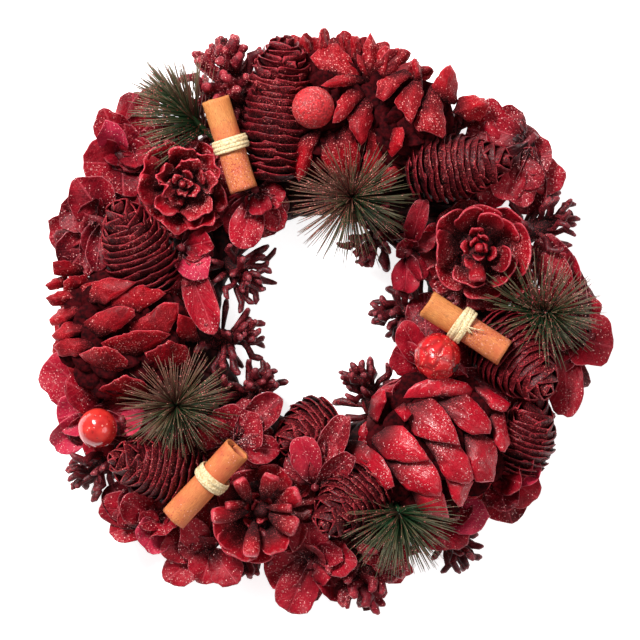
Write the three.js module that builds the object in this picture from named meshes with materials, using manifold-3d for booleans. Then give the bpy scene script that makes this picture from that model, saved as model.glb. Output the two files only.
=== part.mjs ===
// A round Christmas wreath lying on its back, face up: cones, petals, berries, cinnamon
// quills and pine picks, painted and glittered red, glued on a ring of wound vine.
// Millimetres. X is right and Y is up in the wreath's face, Z is towards the viewer,
// and the origin is in the middle of the wreath on the surface that it lies on.
import * as THREE from 'three';
import { mergeVertices } from 'three/addons/utils/BufferGeometryUtils.js';
import Module from 'manifold-3d';

const wasm = await Module();
wasm.setup();

// Driving dimensions
const RING = {
  radius: 80,
  halfWidth: 21,
  halfHeight: 12.5,
  centreHeight: 10.5,
  strands: 4,
  twists: 8,
  lobe: 0.1,
};
const QUILL = { radius: 7.3, wall: 1.5, scrollTurns: 1.45, scrollGap: 0.9 };
const TIE = { width: 7.5, depth: 1.5, strands: 3 };
const CLEARANCE = 0.3; // between two pieces that are glued or pressed together
const LIFT = 1.5; // between the surface and every piece but the ring
const BROAD_SCALE_THICKNESS = 3.6;
const PETAL_THICKNESS = 0.9;
const PETAL_STEP = 1.8; // from one petal of a spray up to the next
const PETAL_STEM_RADIUS = 2.6;
const CONE_STEM_RADIUS = 3;
const PICK_STEM_RADIUS = 2.4;
const NEEDLE_RADIUS = 0.75;
const NEEDLES = 26;
const GOLDEN_ANGLE = THREE.MathUtils.degToRad(137.508);

// Cinnamon quills: the middles of their two ends, and how far along the tie is.
const QUILLS = [
  { name: 'upper_left', from: [-60, 121, 54], to: [-44.5, 71.5, 52], tie: 0.5 },
  { name: 'right', from: [55.5, 9.5, 61], to: [97.5, -17.5, 61], tie: 0.45 },
  { name: 'lower_left', from: [-48, -71, 61], to: [-83, -109, 48.5], tie: 0.41 },
];

const BERRIES = [
  { name: 'top', at: [-7, 116, 59], radius: 11.6 },
  { name: 'left', at: [-125.5, -59.5, 45], radius: 11 },
  { name: 'right', at: [61, -20, 57], radius: 12.8 },
];

// Open pine cones that face the viewer: seat and nose of each axis.
const ROSE_CONES = [
  { name: 'upper_left', seat: [-77, 73, 27], nose: [-81, 77, 60], radius: 28, scaleWidth: 18 },
  { name: 'right', seat: [84, 35, 27], nose: [86, 36, 58], radius: 32, scaleWidth: 20 },
  { name: 'bottom', seat: [-35, -103, 27], nose: [-35, -107, 60], radius: 31, scaleWidth: 13 },
];

// Big cones with broad scales: the middle and size of the mound that the scales stand on, the way
// from base to tip, and each scale as its root and its tip in the wreath's face, and its width.
const BROAD_CONES = [
  {
    name: 'left',
    middle: [-112, -8, 31],
    radius: 39,
    height: 25,
    axis: [-0.26, 0.97, 0],
    scales: [
      [-123, 8, -122, 21, 27], [-102, 6, -106, 19, 32], [-114, -8, -118, 7, 32], [-102, -18, -107, -4, 36],
      [-90, -3, -97, 9, 26], [-120, -31, -121, -15, 28], [-112, -46, -114, -31, 27], [-90, -26, -94, -12, 22],
      [-124, 20, -156, 22, 22], [-125, 11, -155, 12, 24], [-125, 2, -154, 1, 24], [-125, -6, -153, -9, 24],
      [-124, -15, -152, -18, 24], [-120, -24, -146, -28, 24],
    ],
  },
  {
    name: 'top',
    middle: [4, 114, 30],
    radius: 38,
    height: 27,
    axis: [-0.2, -0.8, 0.56],
    scales: [
      [8, 126, -5, 152, 18], [20, 130, -5, 129, 11], [20, 128, 3, 107, 13], [22, 122, 19, 92, 12],
      [9, 113, 16, 78, 15], [1, 105, 11, 73, 15], [-4, 108, -16, 75, 15], [18, 122, 23, 157, 13],
      [12, 122, 15, 159, 11], [6, 124, 7, 159, 11],
    ],
  },
  {
    name: 'top_right',
    middle: [51, 114, 30],
    radius: 36,
    height: 29,
    axis: [-0.45, -0.7, 0.55],
    scales: [
      [38, 108, 22, 76, 19], [48, 104, 31, 70, 16], [46, 134, 31, 116, 15], [52, 130, 45, 104, 16],
      [62, 126, 57, 97, 19], [58, 118, 70, 142, 17], [66, 108, 84, 123, 16], [40, 124, 32, 151, 12],
      [46, 124, 39, 153, 12], [52, 122, 50, 148, 10],
    ],
  },
  {
    name: 'lower_right',
    middle: [60, -67, 30],
    radius: 46,
    height: 34,
    axis: [0.42, -0.91, 0],
    scales: [
      [46, -45, 73, -67, 23], [62, -42, 91, -62, 22], [24, -65, 57, -76, 20], [10, -68, 37, -94, 18],
      [32, -77, 64, -95, 20], [54, -65, 81, -87, 20], [75, -63, 94, -89, 17], [48, -95, 67, -109, 17],
      [67, -87, 75, -103, 14], [79, -35, 102, -48, 12], [91, -52, 101, -73, 11], [37, -48, 45, -56, 9],
      [63, -25, 65, -42, 30],
    ],
  },
];

// Closed spruce cones with fine rows of scales.
const SPRUCE_CONES = [
  { name: 'left', seat: [-94, 14, 34], nose: [-115, 65, 50], radius: 21 },
  { name: 'top', seat: [-31, 76, 38], nose: [-22, 156, 43], radius: 19.5 },
  { name: 'upper_right', seat: [44, 81, 38], nose: [102, 88, 47], radius: 19.5 },
  { name: 'right', seat: [88, -3, 29], nose: [123, -38, 52], radius: 21 },
  { name: 'right_low', seat: [106, -87, 26], nose: [120, -42, 34], radius: 18.5 },
  { name: 'bottom', seat: [30, -83, 36], nose: [-3, -114, 53], radius: 19.5 },
  { name: 'lower_left', seat: [-68, -88, 34], nose: [-119, -75, 46], radius: 19 },
  { name: 'inner_bottom', seat: [4, -52, 27], nose: [-25, -70, 40], radius: 17 },
];

// Petal sprays: a wired foot, and the tip, height and width of each petal.
const SPRAYS = [
  {
    name: 'upper_left',
    foot: [-108, 85, 21],
    petals: [
      [-123, 116, 34, 21], [-107, 127, 28, 20], [-134, 87, 38, 28], [-98, 106, 32, 20],
    ],
  },
  {
    name: 'left_high',
    foot: [-118, 52, 30],
    petals: [
      [-136, 76, 46, 27], [-154, 45, 28, 25], [-144, 27, 30, 26], [-126, 28, 46, 14],
      [-151, 63, 36, 24],
    ],
  },
  {
    name: 'left_low',
    foot: [-122, -48, 24],
    petals: [
      [-155, -22, 29, 31], [-149, -55, 30, 24], [-151, -72, 26, 19], [-126, -78, 30, 18],
      [-101, -55, 38, 24],
    ],
  },
  {
    name: 'lower_left',
    foot: [-87, -108, 22],
    from: [-40, -86, 15],
    petals: [
      [-124, -103, 28, 18], [-119, -118, 28, 17], [-101, -127, 32, 22], [-88, -119, 42, 20],
      [-113, -98, 42, 19],
    ],
  },
  {
    name: 'bottom_left',
    foot: [-62, -122, 21],
    from: [-46, -84, 14],
    petals: [
      [-91, -127, 32, 20], [-89, -145, 24, 20], [-69, -148, 28, 22], [-50, -148, 34, 20],
      [-76, -115, 46, 18],
    ],
  },
  {
    name: 'bottom',
    foot: [-8, -128, 28],
    petals: [
      [-20, -162, 34, 25], [17, -132, 52, 20], [11, -155, 24, 18], [-34, -141, 28, 24],
    ],
  },
  {
    name: 'bottom_right',
    foot: [29, -121, 26],
    petals: [
      [18, -151, 28, 20], [31, -154, 34, 24], [45, -150, 26, 18],
    ],
  },
  {
    name: 'lower_right',
    foot: [63, -102, 24],
    petals: [
      [66, -127, 41, 30], [88, -111, 36, 22], [51, -124, 32, 18],
    ],
  },
  {
    name: 'right_low',
    foot: [104, -93, 24],
    petals: [
      [107, -112, 28, 26], [118, -88, 34, 22], [94, -100, 44, 17], [112, -76, 44, 15],
    ],
  },
  {
    name: 'right',
    foot: [130, -8, 28],
    petals: [
      [157, -14, 38, 32], [133, -54, 40, 20], [138, 38, 30, 20], [152, 13, 28, 22],
    ],
  },
  {
    name: 'upper_right',
    foot: [100, 88, 34],
    petals: [
      [106, 115, 36, 24], [120, 111, 28, 20], [129, 91, 38, 22], [135, 75, 34, 20], [109, 63, 44, 18],
      [86, 121, 34, 16],
    ],
  },
  {
    name: 'inner_upper_right',
    foot: [46, 38, 30],
    petals: [
      [52, 64, 48, 12], [42, 44, 40, 15], [44, 16, 40, 17],
    ],
  },
  {
    name: 'inner_right',
    foot: [57, -29, 32],
    petals: [
      [37, -17, 40, 20], [42, -2, 46, 16], [25, -52, 36, 17], [38, -48, 44, 17], [76, -40, 48, 20],
    ],
  },
  {
    name: 'inner_bottom',
    foot: [-6, -92, 42],
    petals: [
      [10, -53, 52, 16], [2, -56, 48, 17], [-14, -64, 54, 17], [14, -74, 60, 14],
    ],
  },
  {
    name: 'inner_lower_left',
    foot: [-52, -68, 33],
    petals: [
      [-44, -52, 48, 34], [-68, -59, 44, 20], [-25, -42, 42, 18], [-26, -72, 46, 17],
    ],
  },
  {
    name: 'inner_left',
    foot: [-80, 40, 30],
    petals: [
      [-69, 24, 46, 20], [-62, 44, 42, 14], [-81, 18, 40, 17], [-62, -7, 38, 18],
    ],
  },
  {
    name: 'inner_upper_left',
    foot: [-39, 72, 34],
    petals: [
      [-48, 38, 42, 19], [-25, 50, 36, 16], [-23, 66, 38, 15], [-35, 57, 48, 13],
    ],
  },
];

// Small dark cones with finger-like scales, wired to the rim and the inner edge of the ring.
const FINGER_CONES = [
  { name: 'rim_upper_left', nose: [-60, 155, 30], radius: 26 },
  { name: 'rim_top_right', nose: [81, 121, 27], radius: 18 },
  { name: 'rim_right', nose: [138, 56, 30], radius: 26 },
  { name: 'rim_lower_left', nose: [-139, -90, 27], radius: 21 },
  { name: 'rim_bottom_left', nose: [-47, -143, 20], radius: 20 },
  { name: 'rim_bottom', nose: [9, -157, 28], radius: 23 },
  { name: 'rim_lower_right', nose: [79, -138, 19], radius: 23 },
  { name: 'inner_left', nose: [-37, 22, 30], radius: 21 },
  { name: 'inner_left_low', nose: [-41, -12, 30], radius: 20 },
  { name: 'inner_lower_left', nose: [-33, -32, 32], radius: 19 },
  { name: 'inner_top_right', nose: [24, 38, 30], radius: 22 },
  { name: 'inner_right', nose: [28, 3, 27], radius: 20 },
  { name: 'inner_lower_right', nose: [12, -28, 28], radius: 20 },
];

// Pine picks: a bound stem with needles round its end.
const PICKS = [
  { name: 'upper_left', nose: [-80, 120, 50], reach: 38, from: [-44, 82, 15] },
  { name: 'top', nose: [14, 67, 55], reach: 39 },
  { name: 'right', nose: [124, 4, 52], reach: 37 },
  { name: 'left', nose: [-82, -47, 58], reach: 35 },
  { name: 'bottom', nose: [42, -112, 52], reach: 36 },
];

// Solids and booleans

function solidOf(geometry) {
  const bare = geometry.index ? geometry.toNonIndexed() : geometry.clone();
  bare.deleteAttribute('normal');
  bare.deleteAttribute('uv');
  const merged = mergeVertices(bare, 1e-4);
  return new wasm.Manifold(
    new wasm.Mesh({
      numProp: 3,
      vertProperties: merged.attributes.position.array,
      triVerts: new Uint32Array(merged.index.array),
    }),
  );
}

function geometryOf(solid, origin) {
  const mesh = solid.getMesh();
  const positions = new Float32Array(mesh.numVert * 3);
  for (let i = 0; i < mesh.numVert; i++) {
    for (let axis = 0; axis < 3; axis++) {
      positions[i * 3 + axis] = mesh.vertProperties[i * mesh.numProp + axis];
    }
  }
  const geometry = new THREE.BufferGeometry();
  geometry.setAttribute('position', new THREE.BufferAttribute(positions, 3));
  geometry.setIndex(new THREE.BufferAttribute(new Uint32Array(mesh.triVerts), 1));
  geometry.translate(-origin[0], -origin[1], -origin[2]);
  return geometry;
}

function reshape(geometry, move) {
  const positions = geometry.attributes.position;
  const point = new THREE.Vector3();
  for (let i = 0; i < positions.count; i++) {
    point.fromBufferAttribute(positions, i);
    move(point);
    positions.setXYZ(i, point.x, point.y, point.z);
  }
  return geometry;
}

const fuse = (solids) => solids.reduce((whole, piece) => whole.add(piece));

const largestBody = (solid) => solid.decompose().reduce((a, b) => (b.volume() > a.volume() ? b : a));

const vector = (point) => new THREE.Vector3(...point);

// The frame of a piece that stands on its seat and points its own +Z at its nose.
function standing(seat, nose) {
  const axis = vector(nose).sub(vector(seat));
  const length = axis.length();
  const turn = new THREE.Quaternion().setFromUnitVectors(new THREE.Vector3(0, 0, 1), axis.normalize());
  const matrix = new THREE.Matrix4().compose(vector(seat), turn, new THREE.Vector3(1, 1, 1));
  return { matrix, length };
}

const placed = (geometry, matrix) => solidOf(geometry.clone().applyMatrix4(matrix));

// A closed solid of revolution round Z from [radius, height] points that start and end on the axis.
function turned(profile, sides) {
  const points = profile.map(([r, h]) => new THREE.Vector2(r, h));
  return new THREE.LatheGeometry(points, sides).rotateX(Math.PI / 2);
}

// The smooth skin round a turned piece, grown by the clearance: what its neighbours are cut back from.
function skinOf(profile, sides = 12) {
  const grow = 1 / Math.cos(Math.PI / sides);
  const widest = profile.reduce((best, [r], i) => (r > profile[best][0] ? i : best), 0);
  const skin = [[0, profile[0][1] - CLEARANCE]];
  profile.forEach(([r, h], i) => {
    if (i <= widest) skin.push([(r + CLEARANCE) * grow, h - CLEARANCE]);
    if (i >= widest) skin.push([(r + CLEARANCE) * grow, h + CLEARANCE]);
  });
  skin.push([0, profile[profile.length - 1][1] + CLEARANCE]);
  return turned(skin, sides);
}

// Where a piece that stands at a spot in the face is wired to the ring.
function holdOf([x, y]) {
  const distance = Math.hypot(x, y);
  const reach = THREE.MathUtils.clamp(
    distance,
    RING.radius - RING.halfWidth * 0.7,
    RING.radius + RING.halfWidth * 0.75,
  );
  return [(x / distance) * reach, (y / distance) * reach, RING.centreHeight + 4];
}

const offTheRing = ([x, y]) => Math.hypot(x, y) > RING.radius + RING.halfWidth * 0.9;

// A wired stem from the ring to a spot, and a little past it.
function stem(to, radius, past, from = holdOf(to)) {
  const { matrix, length } = standing(from, to);
  return placed(turned([[0, 0], [radius, 0], [radius, length + past], [0, length + past]], 4), matrix);
}

// The ring: a flattened bundle of vine strands that wind round each other, pressed flat on its back.
function vineRing(grow = 0) {
  const around = 26;
  const section = 10;
  const torus = new THREE.TorusGeometry(RING.radius, RING.halfHeight, section, around);
  return reshape(torus, (p) => {
    const turn = Math.atan2(p.y, p.x);
    const roll = Math.atan2(p.z, Math.hypot(p.x, p.y) - RING.radius);
    const lobe = 1 + RING.lobe * Math.cos(RING.strands * roll + RING.twists * turn);
    const radius = RING.radius + (RING.halfWidth * lobe + grow) * Math.cos(roll);
    p.x = radius * Math.cos(turn);
    p.y = radius * Math.sin(turn);
    p.z = Math.max(0, RING.centreHeight + (RING.halfHeight * lobe + grow) * Math.sin(roll));
  });
}

// A cinnamon quill: bark rolled into a scroll with an open bore, its outer edge turned down.
function quill(matrix, length) {
  const below = new THREE.Vector3(0, 0, -1).transformDirection(matrix.clone().invert());
  const down = Math.atan2(below.y, below.x) - 0.7;
  const steps = 13;
  const outer = [];
  const inner = [];
  for (let i = 0; i <= steps; i++) {
    const turns = (i / steps) * QUILL.scrollTurns;
    const angle = turns * 2 * Math.PI + down;
    const radius = QUILL.radius - Math.pow(turns, 1.5) * (QUILL.wall + QUILL.scrollGap);
    const way = new THREE.Vector2(Math.cos(angle), Math.sin(angle));
    outer.push(way.clone().multiplyScalar(radius));
    inner.unshift(way.clone().multiplyScalar(radius - QUILL.wall));
  }
  const section = new THREE.Shape([...outer, ...inner]);
  return new THREE.ExtrudeGeometry(section, { depth: length, bevelEnabled: false });
}

// A raffia tie: three turns of fibre wound round a quill.
function raffiaTie() {
  const sides = 8;
  const bore = (QUILL.radius + CLEARANCE) / Math.cos(Math.PI / sides);
  const along = (turns) => (turns / TIE.strands - 0.5) * TIE.width;
  const profile = [[bore, -TIE.width / 2]];
  for (let i = 0; i < TIE.strands; i++) {
    profile.push([bore + TIE.depth, along(i + 0.5)]);
    if (i < TIE.strands - 1) profile.push([bore + TIE.depth * 0.5, along(i + 1)]);
  }
  profile.push([bore, TIE.width / 2], [bore, -TIE.width / 2]);
  return turned(profile, sides);
}

// A cone scale lies along +Y: a point for its root, and a thick end with three corners. Its outer
// face is towards +Z, and the shoulders of the end stand proud by the cup.
function coneScale({ length, width, thickness, shoulder, cup = 0, grow = 0 }) {
  const half = width / 2 + 2 * grow;
  const thick = thickness / 2 + 2 * grow;
  const low = length * shoulder - grow;
  const tip = length + 2 * grow;
  const corners = [
    [0, -4 * grow, 0],
    [-half, low, cup + thick], [0, tip, thick], [half, low, cup + thick],
    [-half, low, cup - thick], [0, tip, -thick], [half, low, cup - thick],
  ];
  const faces = [
    [0, 3, 2], [0, 2, 1], [0, 5, 6], [0, 4, 5], [3, 0, 6],
    [0, 1, 4], [2, 3, 6], [2, 6, 5], [1, 2, 5], [1, 5, 4],
  ];
  const geometry = new THREE.BufferGeometry();
  geometry.setAttribute('position', new THREE.Float32BufferAttribute(corners.flat(), 3));
  geometry.setIndex(faces.flat());
  return geometry;
}

// A finger of a scale: it widens from a point behind its root to a blunt three-cornered end.
function fingerScale({ length, width, thickness }) {
  const back = -0.3 * length;
  const half = width / 2;
  const corners = [
    [0, back, 0],
    [-half, length, thickness / 2],
    [half, length, thickness / 2],
    [0, length, -thickness / 2],
  ];
  const geometry = new THREE.BufferGeometry();
  geometry.setAttribute('position', new THREE.Float32BufferAttribute(corners.flat(), 3));
  geometry.setIndex([0, 2, 1, 0, 1, 3, 0, 3, 2, 1, 2, 3]);
  return geometry;
}

// Scales set round an axis on the golden angle, from the seat to the nose, and fused to their core.
function scaledCone({ seat, nose, core, count, spread, open, reach, scale, shape = coneScale }) {
  const { matrix, length } = standing(seat, nose);
  const pieces = [placed(turned(core.map(([r, h]) => [r, h * length]), 5), matrix)];
  for (let i = 0; i < count; i++) {
    const share = i / (count - 1);
    const tilt = THREE.MathUtils.degToRad(THREE.MathUtils.lerp(open[0], open[1], share));
    const turn = i * GOLDEN_ANGLE;
    const tangent = new THREE.Vector3(-Math.sin(turn), Math.cos(turn), 0);
    const along = new THREE.Vector3().setFromSphericalCoords(1, tilt, Math.PI / 2 - turn);
    along.set(along.x, along.z, along.y);
    const face = new THREE.Vector3().crossVectors(tangent, along);
    const local = new THREE.Matrix4().makeBasis(tangent, along, face);
    local.setPosition(0, 0, length * THREE.MathUtils.lerp(spread[0], spread[1], share));
    pieces.push(placed(shape(scale(share, reach(share))), local.premultiply(matrix)));
  }
  return fuse(pieces);
}

// The convex outline, in radius and height, that holds every corner of a piece round its axis.
function outlineOf(solid, matrix) {
  const inverse = matrix.clone().invert();
  const mesh = solid.getMesh();
  const points = [];
  for (let i = 0; i < mesh.numVert; i++) {
    const p = new THREE.Vector3().fromArray(mesh.vertProperties, i * mesh.numProp).applyMatrix4(inverse);
    points.push([Math.hypot(p.x, p.y), p.z]);
  }
  const lowest = Math.min(...points.map((p) => p[1]));
  const highest = Math.max(...points.map((p) => p[1]));
  points.push([0, lowest], [0, highest]);
  points.sort((a, b) => a[1] - b[1] || a[0] - b[0]);
  const hull = [];
  for (const p of points) {
    while (hull.length > 1) {
      const [a, b] = hull.slice(-2);
      if ((b[0] - a[0]) * (p[1] - a[1]) - (b[1] - a[1]) * (p[0] - a[0]) > 0) break;
      hull.pop();
    }
    hull.push(p);
  }
  return hull.filter(([r]) => r > 0.5);
}

function roseCone({ seat, nose, radius, scaleWidth }) {
  return scaledCone({
    seat,
    nose,
    core: [[0, 0], [radius * 0.38, 0.1], [radius * 0.3, 0.55], [0, 0.95]],
    count: 18,
    spread: [0.1, 0.66],
    open: [98, 22],
    reach: (share) => THREE.MathUtils.lerp(radius, radius * 0.46, share),
    scale: (share, reach) => ({
      length: reach,
      width: THREE.MathUtils.lerp(scaleWidth, scaleWidth * 0.55, share),
      thickness: 2.2,
      shoulder: 0.8,
      cup: 1.5,
    }),
  });
}

function fingerCone({ nose, radius }) {
  const seat = holdOf(nose);
  const total = standing(seat, nose).length;
  const stalk = Math.max(0, 1 - (2 * radius) / total);
  const up = (share) => stalk + (1 - stalk) * share;
  return scaledCone({
    seat,
    nose,
    core: [[0, 0], [CONE_STEM_RADIUS, 0], [radius * 0.48, up(0.2)], [0, up(1)]],
    count: 8,
    spread: [up(0.16), up(0.72)],
    open: [88, 26],
    reach: (share) => radius * (0.82 + 0.18 * Math.sin(Math.PI * 1.4 * share)),
    scale: (share, reach) => ({ length: reach, width: 14, thickness: 5.6 }),
    shape: fingerScale,
  });
}

// A broad cone: a mound, with each scale's root sunk in it and its tip standing off it.
function broadCone({ middle, radius, height, axis, scales }, grow = 0) {
  const centre = vector(middle);
  const bottom = -0.25 * radius - grow;
  const mound = turned(
    [
      [0, bottom],
      [radius * 0.55 + grow, bottom],
      [radius * 0.8 + grow, 0],
      [radius * 0.65 + grow, height * 0.42],
      [radius * 0.34 + grow, height * 0.66 + grow],
      [0, height * 0.74 + grow],
    ],
    7,
  );
  const onMound = (x, y, lift) => {
    const out = Math.min(1, Math.hypot(x - centre.x, y - centre.y) / radius);
    return new THREE.Vector3(x, y, centre.z + height * Math.sqrt(1 - out * out) + lift);
  };
  const pieces = [placed(mound, new THREE.Matrix4().setPosition(centre))];
  for (const [rootX, rootY, tipX, tipY, width] of scales) {
    const root = onMound(rootX, rootY, -0.42 * height);
    const along = onMound(tipX, tipY, 5).sub(root);
    const length = along.length();
    along.normalize();
    const radial = root.clone().addScaledVector(along, length / 2).sub(centre);
    radial.addScaledVector(vector(axis), -radial.dot(vector(axis)));
    const side = vector(axis).cross(radial);
    side.addScaledVector(along, -side.dot(along)).normalize();
    const face = new THREE.Vector3().crossVectors(side, along);
    const matrix = new THREE.Matrix4().makeBasis(side, along, face).setPosition(root);
    const scale = coneScale({ length, width, thickness: BROAD_SCALE_THICKNESS, shoulder: 0.64, grow });
    pieces.push(placed(scale, matrix));
  }
  return fuse(pieces);
}

// A closed spruce cone: rows of low scalloped scales whose rims face the nose.
function spruceOutline(share) {
  return Math.pow(Math.sin(Math.PI * (0.16 + 0.84 * share)), 0.62) * (1 - 0.12 * share);
}

function spruceCone({ seat, nose, radius }) {
  const { matrix, length } = standing(seat, nose);
  const rows = 7;
  const step = radius * 0.09;
  const profile = [[0, 0]];
  for (let row = 0; row < rows; row++) {
    const low = (row + 0.02) / (rows + 0.3);
    const high = (row + 0.8) / (rows + 0.3);
    profile.push([Math.max(0.8, spruceOutline(low) * radius - step), low * length]);
    profile.push([Math.max(1.2, spruceOutline(high) * radius), high * length]);
  }
  profile.push([0, length]);
  const body = turned(profile, 9);
  reshape(body, (p) => {
    const row = Math.floor((p.z / length) * (rows + 0.3));
    const scallop = 1 + 0.035 * Math.cos(4.5 * Math.atan2(p.y, p.x) + row * Math.PI);
    p.x *= scallop;
    p.y *= scallop;
  });
  return placed(body, matrix);
}

// A petal: a thin oval blade, pinched at its root, dished across and bent along its length.
function petal({ length, width, bend, dish, grow = 0 }) {
  const sides = 7;
  const blade = new THREE.CylinderGeometry(1, 1, 1, sides, 1).rotateX(Math.PI / 2).rotateZ(Math.PI / 2);
  return reshape(blade, (p) => {
    const along = (1 - p.x) / 2;
    const across = p.y * (along < 0.3 ? 0.22 : 1);
    const lift = dish * across * across - bend * along * along;
    p.set(
      (across * (width + 2 * grow)) / 2,
      along * (length + 2 * grow) - grow,
      p.z * (PETAL_THICKNESS + 3 * grow) + lift,
    );
  });
}

// A spray: petals that leave one wired foot for their own tips, each a little above the last.
function spray({ foot, petals, from = holdOf(foot) }, grow = 0) {
  const up = vector(foot).sub(vector(from)).normalize();
  const past = PETAL_STEP * petals.length + grow;
  const pieces = [stem(foot, PETAL_STEM_RADIUS + 1.5 * grow, past, from)];
  petals.forEach(([x, y, z, width], i) => {
    const root = vector(foot).addScaledVector(up, PETAL_STEP * i);
    const along = new THREE.Vector3(x, y, z).sub(root);
    const length = along.length();
    along.normalize();
    const roll = THREE.MathUtils.degToRad(((i * 61) % 24) - 12);
    const side = new THREE.Vector3(0, 0, 1).cross(along).normalize().negate().applyAxisAngle(along, roll);
    const face = new THREE.Vector3().crossVectors(side, along);
    const matrix = new THREE.Matrix4().makeBasis(side, along, face).setPosition(root);
    pieces.push(placed(petal({ length, width, bend: length * 0.08, dish: width * 0.12, grow }), matrix));
  });
  return fuse(pieces);
}

// A pine pick: a bound stem, and needles that stand out round its end.
function pinePick({ nose, reach, from = holdOf(nose) }) {
  const { matrix, length } = standing(from, nose);
  const pieces = [stem(nose, PICK_STEM_RADIUS, 2, from)];
  for (let i = 0; i < NEEDLES; i++) {
    const share = i / (NEEDLES - 1);
    const needleLength = reach * (1 - 0.25 * share);
    const tilt = THREE.MathUtils.degToRad(THREE.MathUtils.lerp(96, 24, share));
    const needle = new THREE.ConeGeometry(NEEDLE_RADIUS, needleLength, 3);
    needle.translate(0, needleLength / 2, 0).rotateX(Math.PI / 2).rotateY(tilt).rotateZ(i * GOLDEN_ANGLE);
    needle.translate(0, 0, length * THREE.MathUtils.lerp(0.62, 0.98, share));
    pieces.push(placed(needle, matrix));
  }
  return fuse(pieces);
}

// Paints
const paint = (color, roughness) => new THREE.MeshStandardMaterial({ color, roughness, metalness: 0 });
const PAINTS = {
  vine: paint(0x3a1a17, 0.85),
  cinnamon: paint(0xc17a42, 0.7),
  raffia: paint(0xd9c38c, 0.85),
  berry: paint(0xd0303a, 0.3),
  rose: paint(0x7d1420, 0.5),
  broad: paint(0xa81d2a, 0.5),
  spruce: paint(0x5a0f1a, 0.45),
  petal: paint(0xa81e2e, 0.55),
  finger: paint(0x4a1419, 0.6),
  needle: paint(0x2f4a2c, 0.6),
};

// Assembly: each new piece is cut back from the skins of those already there, so none crosses another.
const wreath = new THREE.Group();
const skins = [];

const touches = (a, b) => [0, 1, 2].every((i) => a.min[i] < b.max[i] && b.min[i] < a.max[i]);

function add(name, solid, origin, material, skin) {
  let body = solid;
  const box = solid.boundingBox();
  for (const other of skins) {
    if (touches(box, other.box)) body = body.subtract(other.solid);
  }
  const mesh = new THREE.Mesh(geometryOf(largestBody(body), origin), material);
  mesh.name = name;
  mesh.position.set(...origin);
  wreath.add(mesh);
  if (skin) skins.push({ solid: skin, box: skin.boundingBox() });
}

// A cone with scales all round keeps its neighbours off by a turned skin. One that sits beyond
// the ring has a wired stem.
function addCone(name, cone, seat, nose, material) {
  const { matrix } = standing(seat, nose);
  const skin = placed(skinOf(outlineOf(cone, matrix)), matrix);
  if (offTheRing(seat)) {
    const wired = cone.add(stem(seat, CONE_STEM_RADIUS, CONE_STEM_RADIUS));
    const grown = CONE_STEM_RADIUS + 2 * CLEARANCE;
    add(name, wired, seat, material, skin.add(stem(seat, grown, grown)));
  } else {
    add(name, cone, seat, material, skin);
  }
}

add('vine_ring', solidOf(vineRing()), [0, 0, 0], PAINTS.vine, solidOf(vineRing(0.5)));

// Only the ring touches the surface: all the rest is trimmed a little above it.
const below = solidOf(new THREE.BoxGeometry(400, 400, 40).translate(0, 0, LIFT - 20));
skins.push({ solid: below, box: below.boundingBox() });

for (const { name, from, to, tie } of QUILLS) {
  const { matrix, length } = standing(from, to);
  const middle = vector(from).lerp(vector(to), tie).toArray();
  const tieMatrix = standing(middle, to).matrix;
  const ring = solidOf(raffiaTie().applyMatrix4(tieMatrix));
  add(`raffia_tie_${name}`, ring, middle, PAINTS.raffia);
  add(`cinnamon_${name}`, placed(quill(matrix, length), matrix), from, PAINTS.cinnamon);
  const bandRadius = QUILL.radius + CLEARANCE + TIE.depth;
  const skin = [
    placed(skinOf([[QUILL.radius, 0], [QUILL.radius, length]]), matrix),
    placed(skinOf([[bandRadius, -TIE.width / 2], [bandRadius, TIE.width / 2]]), tieMatrix),
  ];
  const whole = fuse(skin);
  skins.push({ solid: whole, box: whole.boundingBox() });
}

for (const { name, at, radius } of BERRIES) {
  const ball = new THREE.SphereGeometry(radius, 11, 7).translate(...at);
  const skin = new THREE.SphereGeometry((radius + CLEARANCE) * 1.06, 11, 7).translate(...at);
  add(`berry_${name}`, solidOf(ball), at, PAINTS.berry, solidOf(skin));
}

for (const cone of ROSE_CONES) {
  addCone(`rose_cone_${cone.name}`, roseCone(cone), cone.seat, cone.nose, PAINTS.rose);
}
for (const cone of SPRUCE_CONES) {
  addCone(`spruce_cone_${cone.name}`, spruceCone(cone), cone.seat, cone.nose, PAINTS.spruce);
}
for (const cone of BROAD_CONES) {
  add(`broad_cone_${cone.name}`, broadCone(cone), cone.middle, PAINTS.broad, broadCone(cone, CLEARANCE));
}
for (const each of SPRAYS) {
  add(`petals_${each.name}`, spray(each), each.foot, PAINTS.petal, spray(each, CLEARANCE));
}
for (const cone of FINGER_CONES) {
  addCone(`finger_cone_${cone.name}`, fingerCone(cone), holdOf(cone.nose), cone.nose, PAINTS.finger);
}
for (const pick of PICKS) {
  add(`pine_pick_${pick.name}`, pinePick(pick), pick.nose, PAINTS.needle);
}

export default wreath;
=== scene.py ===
import functools
import math
import random

import bmesh
import bpy
from mathutils import Matrix, Vector, noise


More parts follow.
